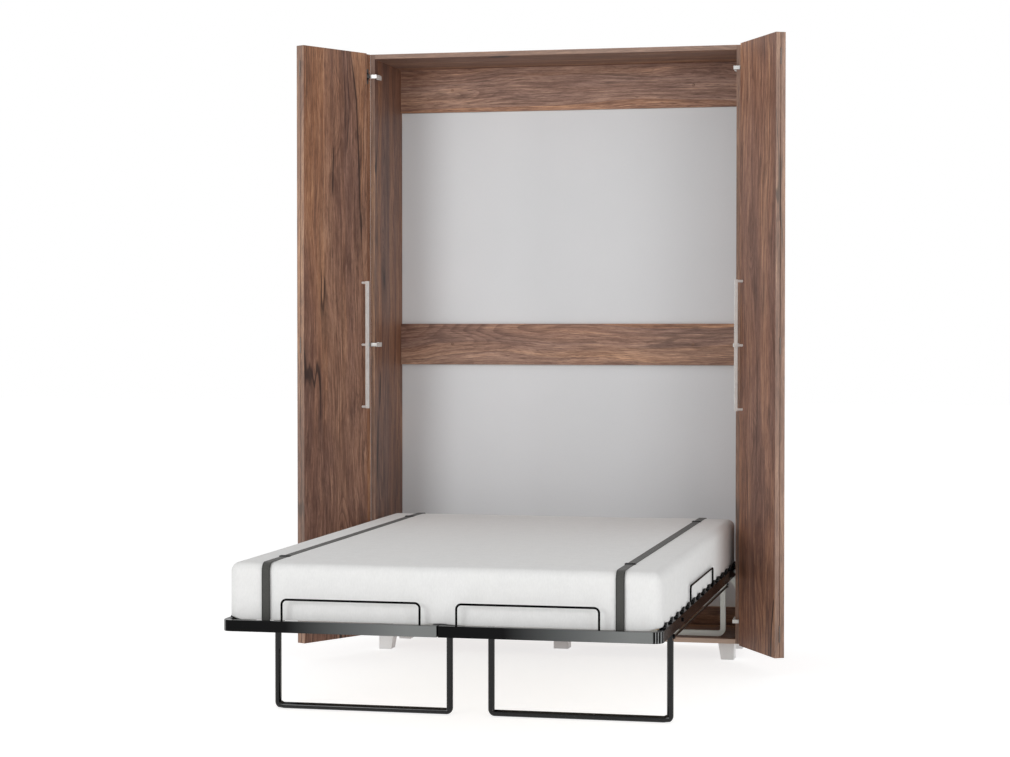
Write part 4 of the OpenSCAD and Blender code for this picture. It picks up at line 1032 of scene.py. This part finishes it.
def surroundings(horizon=0.34, zenith=0.68):
    """Plain white where it is seen directly. As light it is softer, and stronger from above."""
    world = bpy.data.worlds.new("studio")
    bpy.context.scene.world = world
    world.use_nodes = True
    tree = world.node_tree
    tree.nodes.clear()
    new, link = tree.nodes.new, tree.links.new
    soft, white = new("ShaderNodeBackground"), new("ShaderNodeBackground")
    for background in (soft, white):
        background.inputs["Color"].default_value = WHITE
    white.inputs["Strength"].default_value = 1.0
    axes, rise = new("ShaderNodeSeparateXYZ"), new("ShaderNodeMapRange")
    link(new("ShaderNodeTexCoord").outputs["Generated"], axes.inputs[0])
    for label, value in (("From Min", 0.0), ("From Max", 1.0), ("To Min", horizon), ("To Max", zenith)):
        rise.inputs[label].default_value = value
    link(axes.outputs["Z"], rise.inputs["Value"])
    link(rise.outputs[0], soft.inputs["Strength"])
    mix, out = new("ShaderNodeMixShader"), new("ShaderNodeOutputWorld")
    for i, socket in enumerate((seen_directly(tree), soft.outputs[0], white.outputs[0])):
        link(socket, mix.inputs[i])
    link(mix.outputs[0], out.inputs[0])


def pale_floor(size=30, drop=0.0006):
    """A wide floor just below the feet, pale where it is seen and greyer as it lights the part."""
    form = bmesh.new()
    bmesh.ops.create_grid(form, x_segments=1, y_segments=1, size=size)
    pale = Finish("floor_pale", Roughness=0.9, Specular_IOR_Level=0.1, Emission_Color=WHITE)
    seen = seen_directly(pale.tree)
    pale.join(pale.math("MULTIPLY_ADD", seen, 0.49, 0.25), pale.shader.inputs["Emission Strength"])
    colour = pale.mix(seen, tone(248, 248, 248), tone(190, 190, 190))
    floor = shown("floor", mesh_of(form, "floor"), pale.paint(colour))
    floor.location.z = -drop


def softbox(name, place, aim, size, power):
    """A rectangular lamp aimed at a point, its size in metres and its power in watts."""
    lamp = bpy.data.lights.new(name, "AREA")
    lamp.shape = "RECTANGLE"
    lamp.size, lamp.size_y = size
    lamp.energy = power
    holder = bpy.data.objects.new(name, lamp)
    holder.location = place
    holder.rotation_euler = (Vector(aim) - Vector(place)).to_track_quat("-Z", "Y").to_euler()
    bpy.context.scene.collection.objects.link(holder)


def view_from(place, tilt, turn, focal):
    """The camera, upright: its tilt from straight down and its turn, in degrees, and its lens in mm."""
    lens = bpy.data.cameras.new("camera")
    lens.lens, lens.sensor_width = focal, 36
    lens.clip_end = 200
    camera = bpy.data.objects.new("camera", lens)
    camera.location = place
    camera.rotation_euler = (math.radians(tilt), 0, math.radians(turn))
    bpy.context.scene.collection.objects.link(camera)
    bpy.context.scene.camera = camera


def studio():
    bpy.context.scene.view_settings.view_transform = "Standard"
    surroundings()
    pale_floor()
    softbox("key", (-3.5, -7.3, 2.5), (0.0, 0.0, 0.9), (3.0, 2.5), 162)
    softbox("fill", (5.4, -6.2, 2.6), (0.2, 0.2, 0.9), (2.0, 2.5), 92)
    softbox("strip", (6.0, -3.2, 1.2), (0.6, -0.8, 0.5), (0.25, 2.4), 26)
    view_from((1.7048, -7.8960, 1.2853), 88.711, 12.41, 79.857)


studio()
cabinet()
bed_metal()
slats()
holders()
mattress()
straps()
